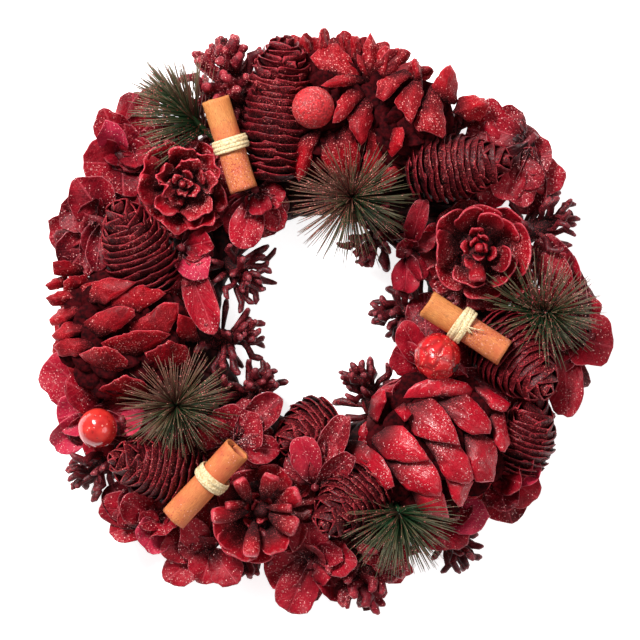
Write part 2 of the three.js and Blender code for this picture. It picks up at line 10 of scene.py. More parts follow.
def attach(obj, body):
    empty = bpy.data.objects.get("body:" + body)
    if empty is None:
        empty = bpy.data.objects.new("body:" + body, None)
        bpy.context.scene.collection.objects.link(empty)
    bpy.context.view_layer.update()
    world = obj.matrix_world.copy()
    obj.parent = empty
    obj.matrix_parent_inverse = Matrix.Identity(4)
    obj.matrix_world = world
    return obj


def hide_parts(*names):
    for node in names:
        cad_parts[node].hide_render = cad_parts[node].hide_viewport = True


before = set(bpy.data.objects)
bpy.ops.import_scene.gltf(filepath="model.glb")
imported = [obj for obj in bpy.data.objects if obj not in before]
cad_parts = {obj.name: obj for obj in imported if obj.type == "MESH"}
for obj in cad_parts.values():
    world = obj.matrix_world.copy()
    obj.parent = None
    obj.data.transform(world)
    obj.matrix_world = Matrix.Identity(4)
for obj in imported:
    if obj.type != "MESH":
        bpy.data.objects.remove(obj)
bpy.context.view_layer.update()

# The vine ring. Real vine stems, dried and dyed dark, are wound round each other into a ring and
# pressed flat on the back. Everything else is glued or wired to it.

RING_RADIUS = 80.0
RING_HALF_WIDTH = 21.0
RING_HALF_HEIGHT = 12.5
RING_CENTRE_HEIGHT = 10.5
VINE_STEMS = 9
VINE_RADIUS = 5.2
VINE_CORE_RADIUS = 9.5
VINE_TWISTS = 5
VINE_POINTS = 132
UP = Vector((0, 0, 1))


def colour(red, green, blue):
    """A colour as seen on a screen, 0 to 255, for a shader."""
    def linear(part):
        part /= 255
        return part / 12.92 if part <= 0.04045 else ((part + 0.055) / 1.055) ** 2.4
    return (linear(red), linear(green), linear(blue), 1.0)


class Value:
    """A number in a finish. Sums and products of such numbers become Math nodes."""

    def __init__(self, finish, socket):
        self.finish = finish
        self.socket = socket

    def maths(self, operation, *values):
        return self.finish.node("Math", {"operation": operation}, values)

    def __add__(self, other):
        return self.maths("ADD", self, other)

    def __sub__(self, other):
        return self.maths("SUBTRACT", self, other)

    def __rsub__(self, other):
        return self.maths("SUBTRACT", other, self)

    def __mul__(self, other):
        return self.maths("MULTIPLY", self, other)

    def __pow__(self, other):
        return self.maths("POWER", self, other)

    def __lt__(self, other):
        return self.maths("LESS_THAN", self, other)

    __radd__ = __add__
    __rmul__ = __mul__

    def step(self, low, high):
        """0 below low, 1 above high, and a soft step between them."""
        settings = {"interpolation_type": "SMOOTHSTEP"}
        values = {"Value": self, "From Min": low, "From Max": high}
        return self.finish.node("MapRange", settings, values)


class Finish:
    """A material, with one method that adds a node to it."""

    def __init__(self, name):
        self.material = bpy.data.materials.new(name)
        self.material.use_nodes = True
        self.tree = self.material.node_tree
        self.shader = self.tree.nodes["Principled BSDF"]

    def fill(self, socket, value):
        if isinstance(value, Value):
            self.tree.links.new(value.socket, socket)
        else:
            socket.default_value = value

    def node(self, kind, settings, values, output=None):
        """One node: its settings first, then its sockets in order or by name."""
        made = self.tree.nodes.new("ShaderNode" + kind)
        for key, value in settings.items():
            setattr(made, key, value)
        sockets = [s for s in made.inputs if s.enabled]
        if isinstance(values, dict):
            for key, value in values.items():
                self.fill(next(s for s in sockets if s.name == key), value)
        else:
            for socket, value in zip(sockets, values):
                self.fill(socket, value)
        outputs = [s for s in made.outputs if s.enabled]
        found = next(s for s in outputs if s.name == output) if output else outputs[0]
        return Value(self, found)

    def place(self):
        return self.node("TexCoord", {}, {}, "Object")

    def noise(self, scale, detail=3.0, place=None):
        values = {"Vector": place or self.place(), "Scale": scale, "Detail": detail}
        return self.node("TexNoise", {}, values, "Fac")

    def mix(self, share, low, high):
        """A colour between two others."""
        return self.node("Mix", {"data_type": "RGBA"}, {"Factor": share, "A": low, "B": high})

    def attribute(self, name):
        """The three numbers that a piece keeps at each of its points."""
        vector = self.node("Attribute", {"attribute_name": name}, {}, "Vector")
        parts = self.tree.nodes.new("ShaderNodeSeparateXYZ")
        self.tree.links.new(vector.socket, parts.inputs[0])
        return [Value(self, parts.outputs[i]) for i in range(3)]

    def bump(self, height, strength, distance):
        values = {"Height": height, "Strength": strength, "Distance": distance}
        self.fill(self.shader.inputs["Normal"], self.node("Bump", {}, values))

    def set(self, **sockets):
        for key, value in sockets.items():
            self.fill(self.shader.inputs[key.replace("_", " ")], value)


def glitter(finish, size, share, patch=0.035):
    """Glued specks of glitter, size metres apart, on a share of the surface and in loose patches
    that measure a patch. Gives where the specks are, and how each of them gleams."""
    grid = {"Vector": finish.place(), "Scale": 1 / size}
    cells, tint = (finish.node("TexVoronoi", {}, grid, output) for output in ("Distance", "Color"))
    chance = finish.node("SeparateColor", {}, {"Color": tint}, "Red")
    gleam = finish.node("SeparateColor", {}, {"Color": tint}, "Green")
    patches = finish.noise(1 / patch, 2.0).step(0.38, 0.62)
    return (cells < 0.4) * (chance < share * (0.1 + 1.5 * patches)), gleam ** 2.2


def draw_out(mesh, edges, shift):
    """Draws a loop of edges out by a shift, and gives the loop at the far end."""
    made = bmesh.ops.extrude_edge_only(mesh, edges=edges)["geom"]
    fresh = {g for g in made if isinstance(g, bmesh.types.BMVert)}
    bmesh.ops.translate(mesh, vec=shift, verts=list(fresh))
    return [g for g in made if isinstance(g, bmesh.types.BMEdge) and set(g.verts) <= fresh]


def settle(mesh, name):
    """Ends the work on a mesh and gives what Blender keeps of it."""
    data = bpy.data.meshes.new(name)
    mesh.to_mesh(data)
    mesh.free()
    return data


def put(data, name, place=(0, 0, 0)):
    """Makes an object of a mesh, a light or a camera."""
    made = bpy.data.objects.new(name, data)
    made.location = place
    bpy.context.collection.objects.link(made)
    return made


@functools.cache
def plain_strand(sides, count, closed):
    """A straight strand of unit radius with a ring of points at each whole height."""
    strand = bmesh.new()
    bmesh.ops.create_circle(strand, segments=sides, radius=1.0)
    start = edges = strand.edges[:]
    for _ in range(count - 1):
        edges = draw_out(strand, edges, (0, 0, 1))
    if closed:
        bmesh.ops.bridge_loops(strand, edges=start + edges)
    else:
        bmesh.ops.edgeloop_fill(strand, edges=start)
        bmesh.ops.edgeloop_fill(strand, edges=edges)
    return settle(strand, "plain_strand")


@functools.cache
def plain_ball(around, rings):
    """A ball of unit radius, with its poles on the Z axis."""
    ball = bmesh.new()
    bmesh.ops.create_uvsphere(ball, u_segments=around, v_segments=rings, radius=1.0)
    return settle(ball, "plain_ball")


def add(mesh, plain):
    """Adds a plain shape to a mesh and gives its points, which are then pressed to their place."""
    if "blade" not in mesh.verts.layers.float_vector:
        mesh.verts.layers.float_vector.new("blade")
    known = len(mesh.verts)
    mesh.from_mesh(plain)
    mesh.verts.ensure_lookup_table()
    return mesh.verts[known:]


def tube(mesh, path, radius, sides=8, closed=False, marks=(0.0, 0.0, 0.0)):
    """A round strand along a path, with a radius for each point of the path. Its points keep
    marks for the finish, as those of a blade do."""
    count = len(path)
    frames = []
    for i, centre in enumerate(path):
        ahead = path[(i + 1) % count] if closed or i < count - 1 else centre
        behind = path[i - 1] if closed or i > 0 else centre
        way = (ahead - behind).normalized()
        side = way.cross(UP)
        side = side if side.length > 0.05 else way.cross(Vector((0, 1, 0)))
        side.normalize()
        frames.append((centre, side * radius[i], way.cross(side) * radius[i]))
    made = add(mesh, plain_strand(sides, count, closed))
    keep = mesh.verts.layers.float_vector["blade"]
    for v in made:
        centre, side, over = frames[round(v.co.z)]
        v.co = centre + side * v.co.x + over * v.co.y
        v[keep] = marks
    return made


def piece(mesh, name, finish, slot, *nodes, lowest=0.0):
    """Makes a mesh in millimetres an object of the wreath, which may stand for CAD nodes. No
    point of it lies below the lowest height."""
    for v in mesh.verts:
        v.co.z = max(lowest, v.co.z)
    bmesh.ops.recalc_face_normals(mesh, faces=mesh.faces)
    bmesh.ops.scale(mesh, vec=(0.001, 0.001, 0.001), verts=mesh.verts)
    for face in mesh.faces:
        face.smooth = True
    made = put(settle(mesh, name), name)
    made.data.materials.append(finish.material)
    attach(made, "root")
    if nodes:
        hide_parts(*nodes)
    return made


def spoke(turn, side=Vector((1, 0, 0)), over=Vector((0, 1, 0))):
    """The way out at a turn, in radians, from side towards over."""
    return side * math.cos(turn) + over * math.sin(turn)


vine = bmesh.new()
# The last stem is the straight core that the others are wound round.
for k in range(VINE_STEMS + 1):
    wound = k < VINE_STEMS
    spine = []
    girth = []
    for i in range(VINE_POINTS):
        turn = 2 * math.pi * i / VINE_POINTS
        roll = 2 * math.pi * k / VINE_STEMS + VINE_TWISTS * turn
        wobble = noise.noise(spoke(turn) * 3 + UP * (k * 7.3))
        girth.append((VINE_RADIUS if wound else VINE_CORE_RADIUS) * (1 + 0.25 * wobble))
        reach = (RING_HALF_WIDTH - girth[-1]) * (1 + 0.12 * wobble) if wound else 0
        rise = (RING_HALF_HEIGHT - VINE_RADIUS) * math.sin(roll) if wound else 0
        out = RING_RADIUS + reach * math.cos(roll)
        spine.append(spoke(turn) * out + UP * (RING_CENTRE_HEIGHT + rise))
    tube(vine, spine, girth, closed=True)
for v in vine.verts:
    v.co.z += noise.noise(v.co * 0.35) * 0.5

vine_bark = Finish("dark_vine_bark")
streak = vine_bark.noise(420.0, 5.0)
vine_bark.set(
    Base_Color=vine_bark.mix(streak.step(0.35, 0.7), colour(20, 5, 6), colour(60, 14, 16)),
    Roughness=0.7,
    Specular_IOR_Level=0.15,
)
vine_bark.bump(streak, 0.6, 0.0006)
piece(vine, "wound_vine", vine_bark, "vine", "vine_ring")

# Cones with broad scales. Four big pine cones lie on the ring with their scales half open. Each
# scale is a woody plate painted bright red, paler along its free edge, with glitter glued on.

# Each scale is a row of its corners' x and y in turn, the tip first.
BROAD_CONES = {
    "left": {
        "middle": (-112, -8, 31), "radius": 39, "height": 25, "reach": 42, "tone": 0.35,
        "dome": 3.2,
        "scales": [
            [-119, 23, -104, 20, -111, 15, -121, 8, -129, 10, -134, 15, -138, 18, -130, 21],
            [-101, 19, -87, 16, -94, 10, -102, 4, -112, 5, -121, 7, -113, 15],
            [-114, 8, -102, 5, -107, -1, -116, -7, -124, -10, -131, -6, -133, -1, -127, 3],
            [-90, 9, -81, 9, -82, 0, -87, -8, -97, -12, -106, -8, -110, -4, -100, 2],
            [-106, -6, -85, -6, -91, -14, -105, -20, -116, -19, -125, -14, -116, -9],
            [-120, -14, -113, -17, -106, -23, -116, -30, -120, -31, -128, -26, -136, -20,
             -128, -16],
            [-109, -30, -99, -35, -96, -43, -108, -46, -119, -46, -127, -40, -119, -34],
            [-85, -11, -75, -16, -73, -25, -89, -30, -98, -25, -98, -18],
            [-81, 4, -72, -1, -70, -12, -78, -12, -82, -7],
            [-155, 19, -150, 23, -142, 25, -144, 18, -152, 16],
            [-141, 24, -131, 25, -130, 20, -138, 16, -145, 16, -145, 20],
            [-155, 12, -148, 16, -137, 17, -133, 13, -145, 8, -152, 7],
            [-154, -1, -147, 6, -137, 9, -133, 4, -143, -1, -150, -4],
            [-151, -8, -143, -1, -133, -1, -130, -6, -141, -10, -148, -12],
            [-151, 32, -144, 33, -133, 29, -136, 23, -150, 25],
            [-151, -15, -143, -10, -129, -10, -125, -15, -135, -20, -146, -20],
        ],
    },
    "top": {
        "middle": (4, 114, 30), "radius": 38, "height": 27, "reach": 41, "tone": 0.7, "dome": 3.6,
        "scales": [
            [5, 153, 13, 145, 19, 134, 10, 132, 2, 135, -6, 139, -9, 144, -3, 151],
            [-4, 128, 7, 134, 17, 135, 23, 131, 12, 128, 2, 127],
            [4, 109, 6, 119, 12, 127, 20, 131, 24, 125, 15, 116, 9, 108, 5, 107],
            [-16, 74, -20, 85, -19, 96, -13, 101, -3, 106, -1, 102, -7, 94, -9, 82],
            [12, 72, 6, 77, -1, 84, -4, 92, 0, 105, 4, 105, 7, 96, 12, 89, 15, 78],
            [18, 78, 13, 81, 9, 89, 4, 96, 9, 108, 13, 111, 15, 102, 19, 90],
            [20, 92, 17, 98, 13, 104, 12, 111, 18, 118, 22, 123, 26, 119, 25, 107],
            [23, 74, 20, 82, 22, 94, 24, 105, 32, 107, 41, 105, 37, 95, 33, 85],
            [28, 69, 32, 82, 36, 95, 44, 100, 50, 99, 44, 85, 38, 75],
            [14, 157, 18, 156, 20, 150, 18, 143, 13, 142, 12, 150],
            [17, 148, 21, 143, 26, 130, 22, 131, 17, 141],
            [24, 158, 29, 151, 29, 134, 24, 132, 20, 140, 20, 150],
            [33, 151, 37, 147, 37, 134, 32, 130, 28, 133, 28, 147],
            [39, 151, 43, 146, 46, 138, 41, 131, 35, 133, 36, 146],
            [8, 157, 12, 152, 13, 144, 8, 144, 6, 152],
            [-2, 160, 2, 154, 4, 147, -2, 146, -5, 154],
            [-13, 157, -8, 152, -7, 144, -13, 144, -15, 152],
            [-21, 156, -16, 151, -14, 142, -22, 143, -25, 150],
        ],
        "fringe": [-35, 147, -28, 153, -19, 157, -12, 158, -6, 156, -1, 161, 6, 156, 11, 159,
                   16, 154, 24, 156, 28, 151, 34, 153, 40, 148, 46, 148, 52, 141, 59, 138],
    },
    "top_right": {
        "middle": (51, 114, 30), "radius": 36, "height": 29, "core": (45, 108, 30), "reach": 29,
        "scales": [
            [32, 118, 28, 123, 28, 131, 35, 135, 44, 138, 47, 134, 40, 128],
            [46, 105, 41, 114, 37, 119, 43, 127, 49, 133, 53, 134, 53, 123, 49, 112],
            [49, 145, 52, 138, 53, 131, 48, 130, 47, 142],
            [65, 98, 58, 102, 50, 103, 48, 108, 53, 121, 58, 129, 63, 121, 65, 112],
            [68, 140, 72, 135, 72, 118, 66, 119, 61, 122, 57, 129, 63, 136],
            [91, 119, 86, 110, 77, 109, 70, 114, 73, 122, 82, 124],
            [42, 95, 36, 88, 33, 94, 36, 105, 43, 106],
        ],
    },
    "lower_right": {
        "middle": (60, -67, 30), "radius": 46, "height": 34, "ragged": 0.07,
        "scales": [
            [73, -68, 57, -66, 47, -62, 45, -54, 43, -46, 58, -42, 64, -48, 70, -58],
            [43, -56, 37, -49, 43, -45, 47, -51],
            [91, -62, 79, -63, 73, -59, 65, -50, 61, -45, 76, -39, 83, -46, 90, -55],
            [81, -89, 74, -89, 65, -87, 60, -76, 52, -64, 61, -64, 72, -67, 78, -75],
            [74, -104, 69, -98, 65, -86, 74, -85, 81, -88],
            [92, -88, 82, -89, 78, -79, 74, -63, 82, -61, 92, -65, 94, -74],
            [58, -76, 43, -78, 32, -76, 23, -65, 32, -59, 41, -57, 48, -64],
            [38, -95, 26, -89, 15, -84, 11, -76, 9, -67, 19, -66, 30, -74, 35, -82],
            [64, -96, 54, -96, 44, -93, 37, -85, 31, -76, 43, -76, 56, -75, 63, -86],
            [68, -109, 54, -108, 50, -102, 46, -92, 54, -92, 64, -94],
            [102, -46, 98, -51, 91, -49, 85, -42, 78, -35, 90, -38],
            [101, -67, 97, -74, 92, -67, 89, -50, 98, -50],
            [61, -30, 79, -35, 84, -42, 63, -42, 42, -43, 46, -36],
            [33, -44, 28, -57, 23, -52, 25, -42, 32, -37],
        ],
    },
}
BROAD_SCALE_THICKNESS = 3.2
FRINGE_HEIGHT = 42
LOW_SCALES = 44
HIDDEN_SCALES = 30
GOLDEN_ANGLE = math.radians(137.508)


def standing(root, tip, face):
    """The place of a blade: from its root, along +Y to its tip, with its face towards +Z."""
    along = (tip - root).normalized()
    side = along.cross(face)
    side = side.normalized() if side.length > 1e-4 else along.orthogonal().normalized()
    up = side.cross(along)
    return Matrix.Translation(root) @ Matrix((side, along, up)).transposed().to_4x4()


def blade(mesh, root, tip, face, width, thickness, tone, outline=2.0, shoulder=0.5, cup=0.0,
          curl=0.0, wave=0.0, ragged=0.0, neck=0.0, around=12, rings=5):
    """A closed blade, such as a scale or a petal, pressed out of a ball. tone picks its tint of
    the paint, below 0 for one that is painted dark all over as shade; outline is 2 for an oval and
    less for a lozenge; cup lifts the sides, curl drops the tip, and neck narrows the root."""
    place = standing(root, tip, face)
    length = (tip - root).length
    ball = add(mesh, plain_ball(around, rings))
    keep = mesh.verts.layers.float_vector["blade"]
    bend = math.log(shoulder) / math.log(0.5)
    for v in ball:
        x, y, z = v.co
        flat = math.hypot(x, y)
        wide = 1.0
        if flat > 1e-5:
            c = abs(x / flat)
            s = abs(y / flat)
            wide = (c ** outline + s ** outline) ** (-1 / outline)
            wide *= 1 + ragged * noise.noise(Vector((2.4 * x / flat, 2.4 * y / flat, 40 * tone)))
        along = max(0.0, (y * wide + 1) / 2) ** bend
        across = x * wide
        narrow = 1 - neck * (1 - min(1.0, along / 0.45)) ** 1.5
        body = math.copysign(abs(z) ** 0.65, z) * thickness / 2
        lift = cup * across * across - curl * length * along * along
        lift += 2.6 * wave * flat * noise.noise(Vector((1.5 * across, 2.6 * along, 31 * tone)))
        v[keep] = (x, y, tone)
        v.co = place @ Vector((across * narrow * width / 2, along * length, body + lift))
    return ball


def painted_shade(deep):
    """A painted shade: the colour of deep shade, where little light gets in."""
    return tuple(part * 0.2 for part in deep[:3]) + (1.0,)


def painted_scale(name, deep, face, rim, specks, share, rim_from=0.8, rough=0.42, root_shade_to=0.1,
                  gloss=0.2):
    """Painted wood, paler along the free edge, with glitter, and with painted shade towards the
    root.
    """
    paint = Finish(name)
    x, y, tone = paint.attribute("blade")
    flat = (x * x + y * y) ** 0.5
    free = flat.step(rim_from, 0.99) * y.step(-0.3, 0.25)
    # Painted shade towards the root of each scale, where the next scale overlaps it; root is 0
    # there.
    root = y.step(-0.95, root_shade_to)
    cloud = paint.noise(75.0, 4.0).step(0.3, 0.7)
    mottle = paint.noise(380.0, 3.0).step(0.3, 0.7)
    grain = paint.noise(1300.0, 2.0)
    # A scale whose tone is below 0 is painted dark all over as shade, without rim or glitter.
    unshaded = tone.step(-0.6, 0.0)
    along = paint.node("CombineXYZ", {}, {"X": x * 5.0, "Y": y * 0.8, "Z": tone * 9.0})
    streak = paint.noise(1.6, 4.0, along).step(0.3, 0.7)
    base = paint.mix(cloud * 0.3 + tone * 0.35 + mottle * 0.15 + streak * 0.25, deep, face)
    base = paint.mix(root * (0.25 + 0.75 * unshaded), painted_shade(deep), base)
    base = paint.mix(free * (0.35 + 0.55 * cloud) * unshaded, base, rim)
    # Fine pale glitter with painted glints, thicker in patches as a painted sheen.
    fine_glitter_and_glint = paint.noise(1700.0, 1.0).step(0.54, 0.68) * unshaded
    base = paint.mix(fine_glitter_and_glint * (0.14 + 0.4 * cloud), base, colour(226, 74, 84))
    speck, gleam = glitter(paint, 0.0008, share * (0.35 + 1.4 * free + 0.7 * cloud))
    speck = speck * y.step(-0.85, -0.55) * unshaded
    dot = paint.mix(gleam, colour(206, 40, 48), specks)
    base = paint.mix(speck * (0.35 + 0.65 * gleam), base, dot)
    shine = rough + 0.25 * (grain - 0.5) - 0.2 * speck + 0.5 * (1 - root) + 0.4 * (1 - unshaded)
    paint.set(Base_Color=base, Roughness=shine, Specular_IOR_Level=gloss)
    paint.bump(grain * 0.3 + mottle * 0.3 + cloud * 0.3 + streak * 0.4 + speck * 0.6, 0.5, 0.0008)
    return paint


bright_scale = painted_scale("bright_red_scale", colour(120, 0, 18), colour(206, 14, 40),
                             colour(236, 96, 112), colour(255, 206, 204), 0.6, rim_from=0.94,
                             rough=0.3, gloss=0.4)
deep_scale = painted_scale("deep_red_scale", colour(74, 0, 8), colour(182, 8, 24),
                           colour(222, 76, 88), colour(255, 178, 170), 0.6, rim_from=0.9,
                           rough=0.46, gloss=0.15)
# The core and the hidden scales of each broad cone are painted near black: painted shade for the
# gaps between the plates.
shaded_scale = Finish("shaded_scale")
grain = shaded_scale.noise(420.0, 4.0)
base = shaded_scale.mix(grain.step(0.3, 0.7), colour(26, 3, 5), colour(70, 7, 13))
shaded_scale.set(Base_Color=base, Roughness=0.85, Specular_IOR_Level=0.06)
shaded_scale.bump(grain, 0.6, 0.0008)
dice = random.Random(5)


def points_of(row):
    """The points of a row of x and y in turn."""
    return [Vector((x, y, 0)) for x, y in zip(row[::2], row[1::2])]


def plate(mesh, corners, thickness, dome, tone, ragged):
    """A closed plate, pressed out of a ball to corners in a round, the first of them its tip."""
    middle = sum(corners, Vector()) / len(corners)
    ahead = corners[0] - middle
    heading = math.atan2(ahead.y, ahead.x)
    edges = [(corners[i - 1], corners[i]) for i in range(len(corners))]
    ball = add(mesh, plain_ball(28, 10))
    keep = mesh.verts.layers.float_vector["blade"]
    for v in ball:
        x, y, z = v.co
        flat = math.hypot(x, y)
        edge = middle
        if flat > 1e-5:
            # The edge is where the way out to this point crosses the line between two corners.
            way = Vector((x / flat, y / flat))
            for start, end in edges:
                span = (end - start).xy
                gap = (start - middle).xy
                across = way.cross(span)
                if abs(across) < 1e-6:
                    continue
                reach = gap.cross(span) / across
                share = gap.cross(way) / across
                if reach > 0 and -1e-6 <= share <= 1 + 1e-6:
                    edge = start.lerp(end, share)
                    break
        angle = math.atan2(y, x) - heading
        # The marks run from the back of the plate to its tip, so the finish paints shade at its
        # back, where the next scale overlaps it.
        v[keep] = (flat * math.sin(angle), flat * math.cos(angle), tone)
        fold = 1 - 0.7 * abs(math.sin(angle)) * flat
        body = math.copysign(abs(z) ** 0.6, z) * thickness / 2
        spread = 1 + ragged * noise.noise(Vector((2.5 * x, 2.5 * y, 20 * tone)))
        spot = middle.lerp(edge, flat ** 0.9 * spread)
        body += 1.6 * noise.noise(Vector((0.13 * spot.x, 0.13 * spot.y, 20 * tone)))
        v.co = spot + UP * (body + dome * (1 - flat * flat) * fold)


for name, cone in BROAD_CONES.items():
    mound = bmesh.new()
    inner = bmesh.new()
    middle = Vector(cone["middle"])
    radius = cone["radius"]
    height = cone["height"]
    core = Vector(cone.get("core", middle))
    reach = cone.get("reach", radius)
    for v in add(inner, plain_ball(32, 16)):
        squash = 0.74 * height if v.co.z > 0 else 14
        v.co = core + v.co * Vector((0.72 * reach, 0.72 * reach, squash))
    # A skirt of low scales round the cone; those with a tone below 0 are painted dark as shade.
    for k in range(LOW_SCALES):
        way = spoke(2 * math.pi * (k * 0.382 + 0.1)) * reach
        low = k % 3
        root = core + way * 0.5 + UP * (5 * low - 6)
        tip = core + way * (1.0 - 0.07 * low) + UP * (11 * low - 12 + dice.uniform(-2, 2))
        blade(mound, root, tip, UP, 16, 2.4, dice.uniform(-0.8, 0.3), outline=1.9, shoulder=0.6,
              cup=-2)
    for k in range(HIDDEN_SCALES):
        way = spoke(k * GOLDEN_ANGLE) * reach
        out = 0.78 * math.sqrt((k + 0.5) / HIDDEN_SCALES)
        root = core + way * 0.7 * out + UP * (0.7 * height * math.sqrt(1 - out * out))
        out = min(0.9, out + 0.24)
        tip = core + way * out + UP * (0.86 * height * math.sqrt(1 - out * out) + 2)
        blade(inner, root, tip, UP, 19, 2.0, 0.1 * k, outline=1.8, shoulder=0.6, cup=-1, wave=0.8,
              ragged=0.1)
    for row in cone["scales"]:
        corners = points_of(row)
        centre = sum(corners, Vector()) / len(corners)
        ahead = (corners[0] - centre).normalized()
        span = max((c - centre).dot(ahead) for c in corners)
        # The corners lie on the dome of the cone, and the scale rises from it towards its tip.
        for c in corners:
            out = min(0.97, (c - middle).xy.length / radius)
            raised = 1 + 6.5 * (c - centre).xy.dot(ahead.xy) / span
            c.z = middle.z + height * math.sqrt(1 - out * out) + raised
        tone = dice.random() * cone.get("tone", 1.0)
        plate(mound, corners, BROAD_SCALE_THICKNESS, cone.get("dome", 4.2), tone,
              cone.get("ragged", 0.18))
    # Ragged scales along the rim; those with a tone below 0 are painted dark as shade.
    for tip in points_of(cone.get("fringe", ())):
        tip.z = FRINGE_HEIGHT + dice.uniform(-3, 3)
        root = middle.lerp(tip, 0.5) + UP * 5
        face = Vector((dice.uniform(-1.3, 1.3), -0.2, 1))
        blade(mound, root, tip, face, dice.uniform(8, 11), 1.8, dice.uniform(-0.35, 0.3),
              outline=2.2, shoulder=0.64, cup=-1.5, wave=1.4, ragged=0.2, around=20, rings=8)
    piece(inner, "shaded_scales_" + name, shaded_scale, "broad_cone")
    paint = bright_scale if name == "lower_right" else deep_scale
    piece(mound, "broad_scales_" + name, paint, "broad_cone", "broad_cone_" + name)

# Closed spruce cones. Thin woody scales overlap all round the cone with their rims towards its
# nose; they are painted dark burgundy, with painted shade over each scale from its root up to its
# paler rim, so that only the rims stand out.

SPRUCE_CONES = {
    "left": ((-94, 14, 34), (-115, 65, 50), 21),
    "top": ((-31, 76, 38), (-22, 156, 43), 19.5),
    "upper_right": ((44, 81, 38), (102, 88, 47), 19.5),
    "right": ((88, -3, 29), (123, -40, 52), 22.5),
    "right_low": ((104, -85, 26), (118, -42, 34), 18),
    "bottom": ((30, -83, 36), (-3, -114, 53), 19.5),
    "lower_left": ((-68, -88, 34), (-119, -75, 46), 19),
    "inner_bottom": ((4, -52, 27), (-25, -70, 40), 17),
}
SPRUCE_PITCH = 4.5
SPRUCE_LAST_ROW = 0.99
SPRUCE_SCALE_WIDTH = 17
NOSE_LIFT = 9.0
# From where along it a cone's nose is turned up.
BENT_FROM = 0.4
# The cone whose scales stand open and ruffled near its nose, and from where along it.
OPEN_NOSE = "top"
OPEN_FROM = 0.68


def spruce_outline(share):
    """How thick a cone is at a share of its length, 1 at its thickest."""
    return max(0.0, math.sin(math.pi * (0.16 + 0.84 * share))) ** 0.62 * (1 - 0.12 * share)


def spruce_spine(seat, nose, share):
    """A point on the spine of a cone, whose nose turns up, with the way it runs there."""
    seat = Vector(seat)
    span = Vector(nose) - seat
    bent = max(0.0, (share - BENT_FROM) / (1 - BENT_FROM))
    spot = seat + span * share + UP * (NOSE_LIFT * bent * bent)
    way = (span + UP * (2 * NOSE_LIFT * bent / (1 - BENT_FROM))).normalized()
    side = way.cross(UP).normalized()
    return spot, way, side, way.cross(side)


def hold_of(spot):
    """Where a piece that stands at a spot is wired to the ring."""
    spot = Vector(spot[:2])
    away = spot.length
    inmost = RING_RADIUS - 0.7 * RING_HALF_WIDTH
    outmost = RING_RADIUS + 0.75 * RING_HALF_WIDTH
    reach = min(max(away, inmost), outmost)
    return Vector((*(spot / away * reach), RING_CENTRE_HEIGHT + 4))


def stem(mesh, start, end, radius):
    """A bound wire from the ring to a piece."""
    path = [Vector(start).lerp(Vector(end), i / 5) for i in range(6)]
    # Marked towards the root, so the finish paints the stem dark as shade.
    tube(mesh, path, [radius] * 6, sides=6, marks=(0.0, -0.6, 0.3))


def off_the_ring(seat):
    """Whether a cone stands outside the ring, so that it needs a stem."""
    return math.hypot(*seat[:2]) > RING_RADIUS + 0.9 * RING_HALF_WIDTH


def ahead_of(seat, nose):
    """The axis of a cone, its length, and two directions across it."""
    axis = Vector(nose) - Vector(seat)
    length = axis.length
    axis.normalize()
    side = axis.orthogonal().normalized()
    return axis, length, side, axis.cross(side)


dark_scale = painted_scale("burgundy_scale", colour(30, 0, 5), colour(84, 4, 12),
                           colour(156, 36, 48), colour(250, 150, 140), 0.22, rim_from=0.86,
                           rough=0.36, root_shade_to=0.7)
for name, (seat, nose, radius) in SPRUCE_CONES.items():
    cone = bmesh.new()
    length = (Vector(nose) - Vector(seat)).length
    # The core is marked as root all through, so it is painted dark as shade between the scales.
    ball = add(cone, plain_ball(16, 12))
    keep = cone.verts.layers.float_vector["blade"]
    for v in ball:
        v[keep] = (0.0, -0.9, 0.0)
        share = (v.co.z + 1) / 2
        level = math.sqrt(max(0.0025, 1 - v.co.z ** 2))
        wide = 0.7 * radius * spruce_outline(share) / level
        spot, way, side, over = spruce_spine(seat, nose, 0.96 * share)
        v.co = spot + side * v.co.x * wide + over * v.co.y * wide
    # Rows of scales from the foot to the nose, which lean in with the outline where it narrows.
    at = 0.05
    row = 0
    while at < 1.0:
        if at >= 0.97:
            at = SPRUCE_LAST_ROW
        girth = max(1.2, radius * spruce_outline(at))
        count = max(3, round(2 * math.pi * girth / SPRUCE_SCALE_WIDTH))
        shrink = spruce_outline(min(1.0, at + 0.03)) - spruce_outline(at - 0.03)
        drop = radius * shrink / (0.06 * length)
        tilt = math.atan(drop) + math.radians(52 - 22 * at)
        opened = name == OPEN_NOSE and at > OPEN_FROM
        if opened:
            tilt += 0.5 * (at - 0.6) / 0.4
        reach = 9 + 4 * (1 - at ** 3) * radius / 20
        width = min(2 * math.pi * girth / count * 1.25 + 1, 22) * (1.1 if opened else 1)
        for i in range(count):
            shift = 0.5 * (row % 2) + 0.13 * row + dice.uniform(-0.08, 0.08)
            spot, way, side, over = spruce_spine(seat, nose, at + dice.uniform(-0.008, 0.008))
            radial = spoke(2 * math.pi * (i + shift) / count, side, over)
            tip = spot + radial * girth * dice.uniform(0.99, 1.05)
            tone = 0.3 * at + 0.7 * dice.random()
            if opened:
                tip += radial * 3 * at
                tone = 0.8 + 0.5 * dice.random()
            root = tip - spoke(tilt, way, radial) * reach
            face = spoke(tilt, radial, -way)
            made = blade(cone, root, tip, face, width, 1.1, tone, outline=2.9, shoulder=0.8,
                         cup=-0.12 * width, curl=0.04, wave=1.3 if opened else 0.25, ragged=0.1,
                         around=14)
            # Towards the nose, less of each scale gets painted shade at its root.
            for v in made:
                x, y, tone = v[keep]
                v[keep] = (x, 1 - (1 - y) * (1 - 0.45 * max(0.0, at - 0.6) / 0.4), tone)
        pitch = SPRUCE_PITCH * (1 - 0.42 * at ** 3) / (length * math.hypot(1.0, drop))
        at += pitch if at < SPRUCE_LAST_ROW else 1.0
        row += 1
    if off_the_ring(seat):
        stem(cone, hold_of(seat), seat, 3.0)
    piece(cone, "spruce_scales_" + name, dark_scale, "spruce_cone", "spruce_cone_" + name)
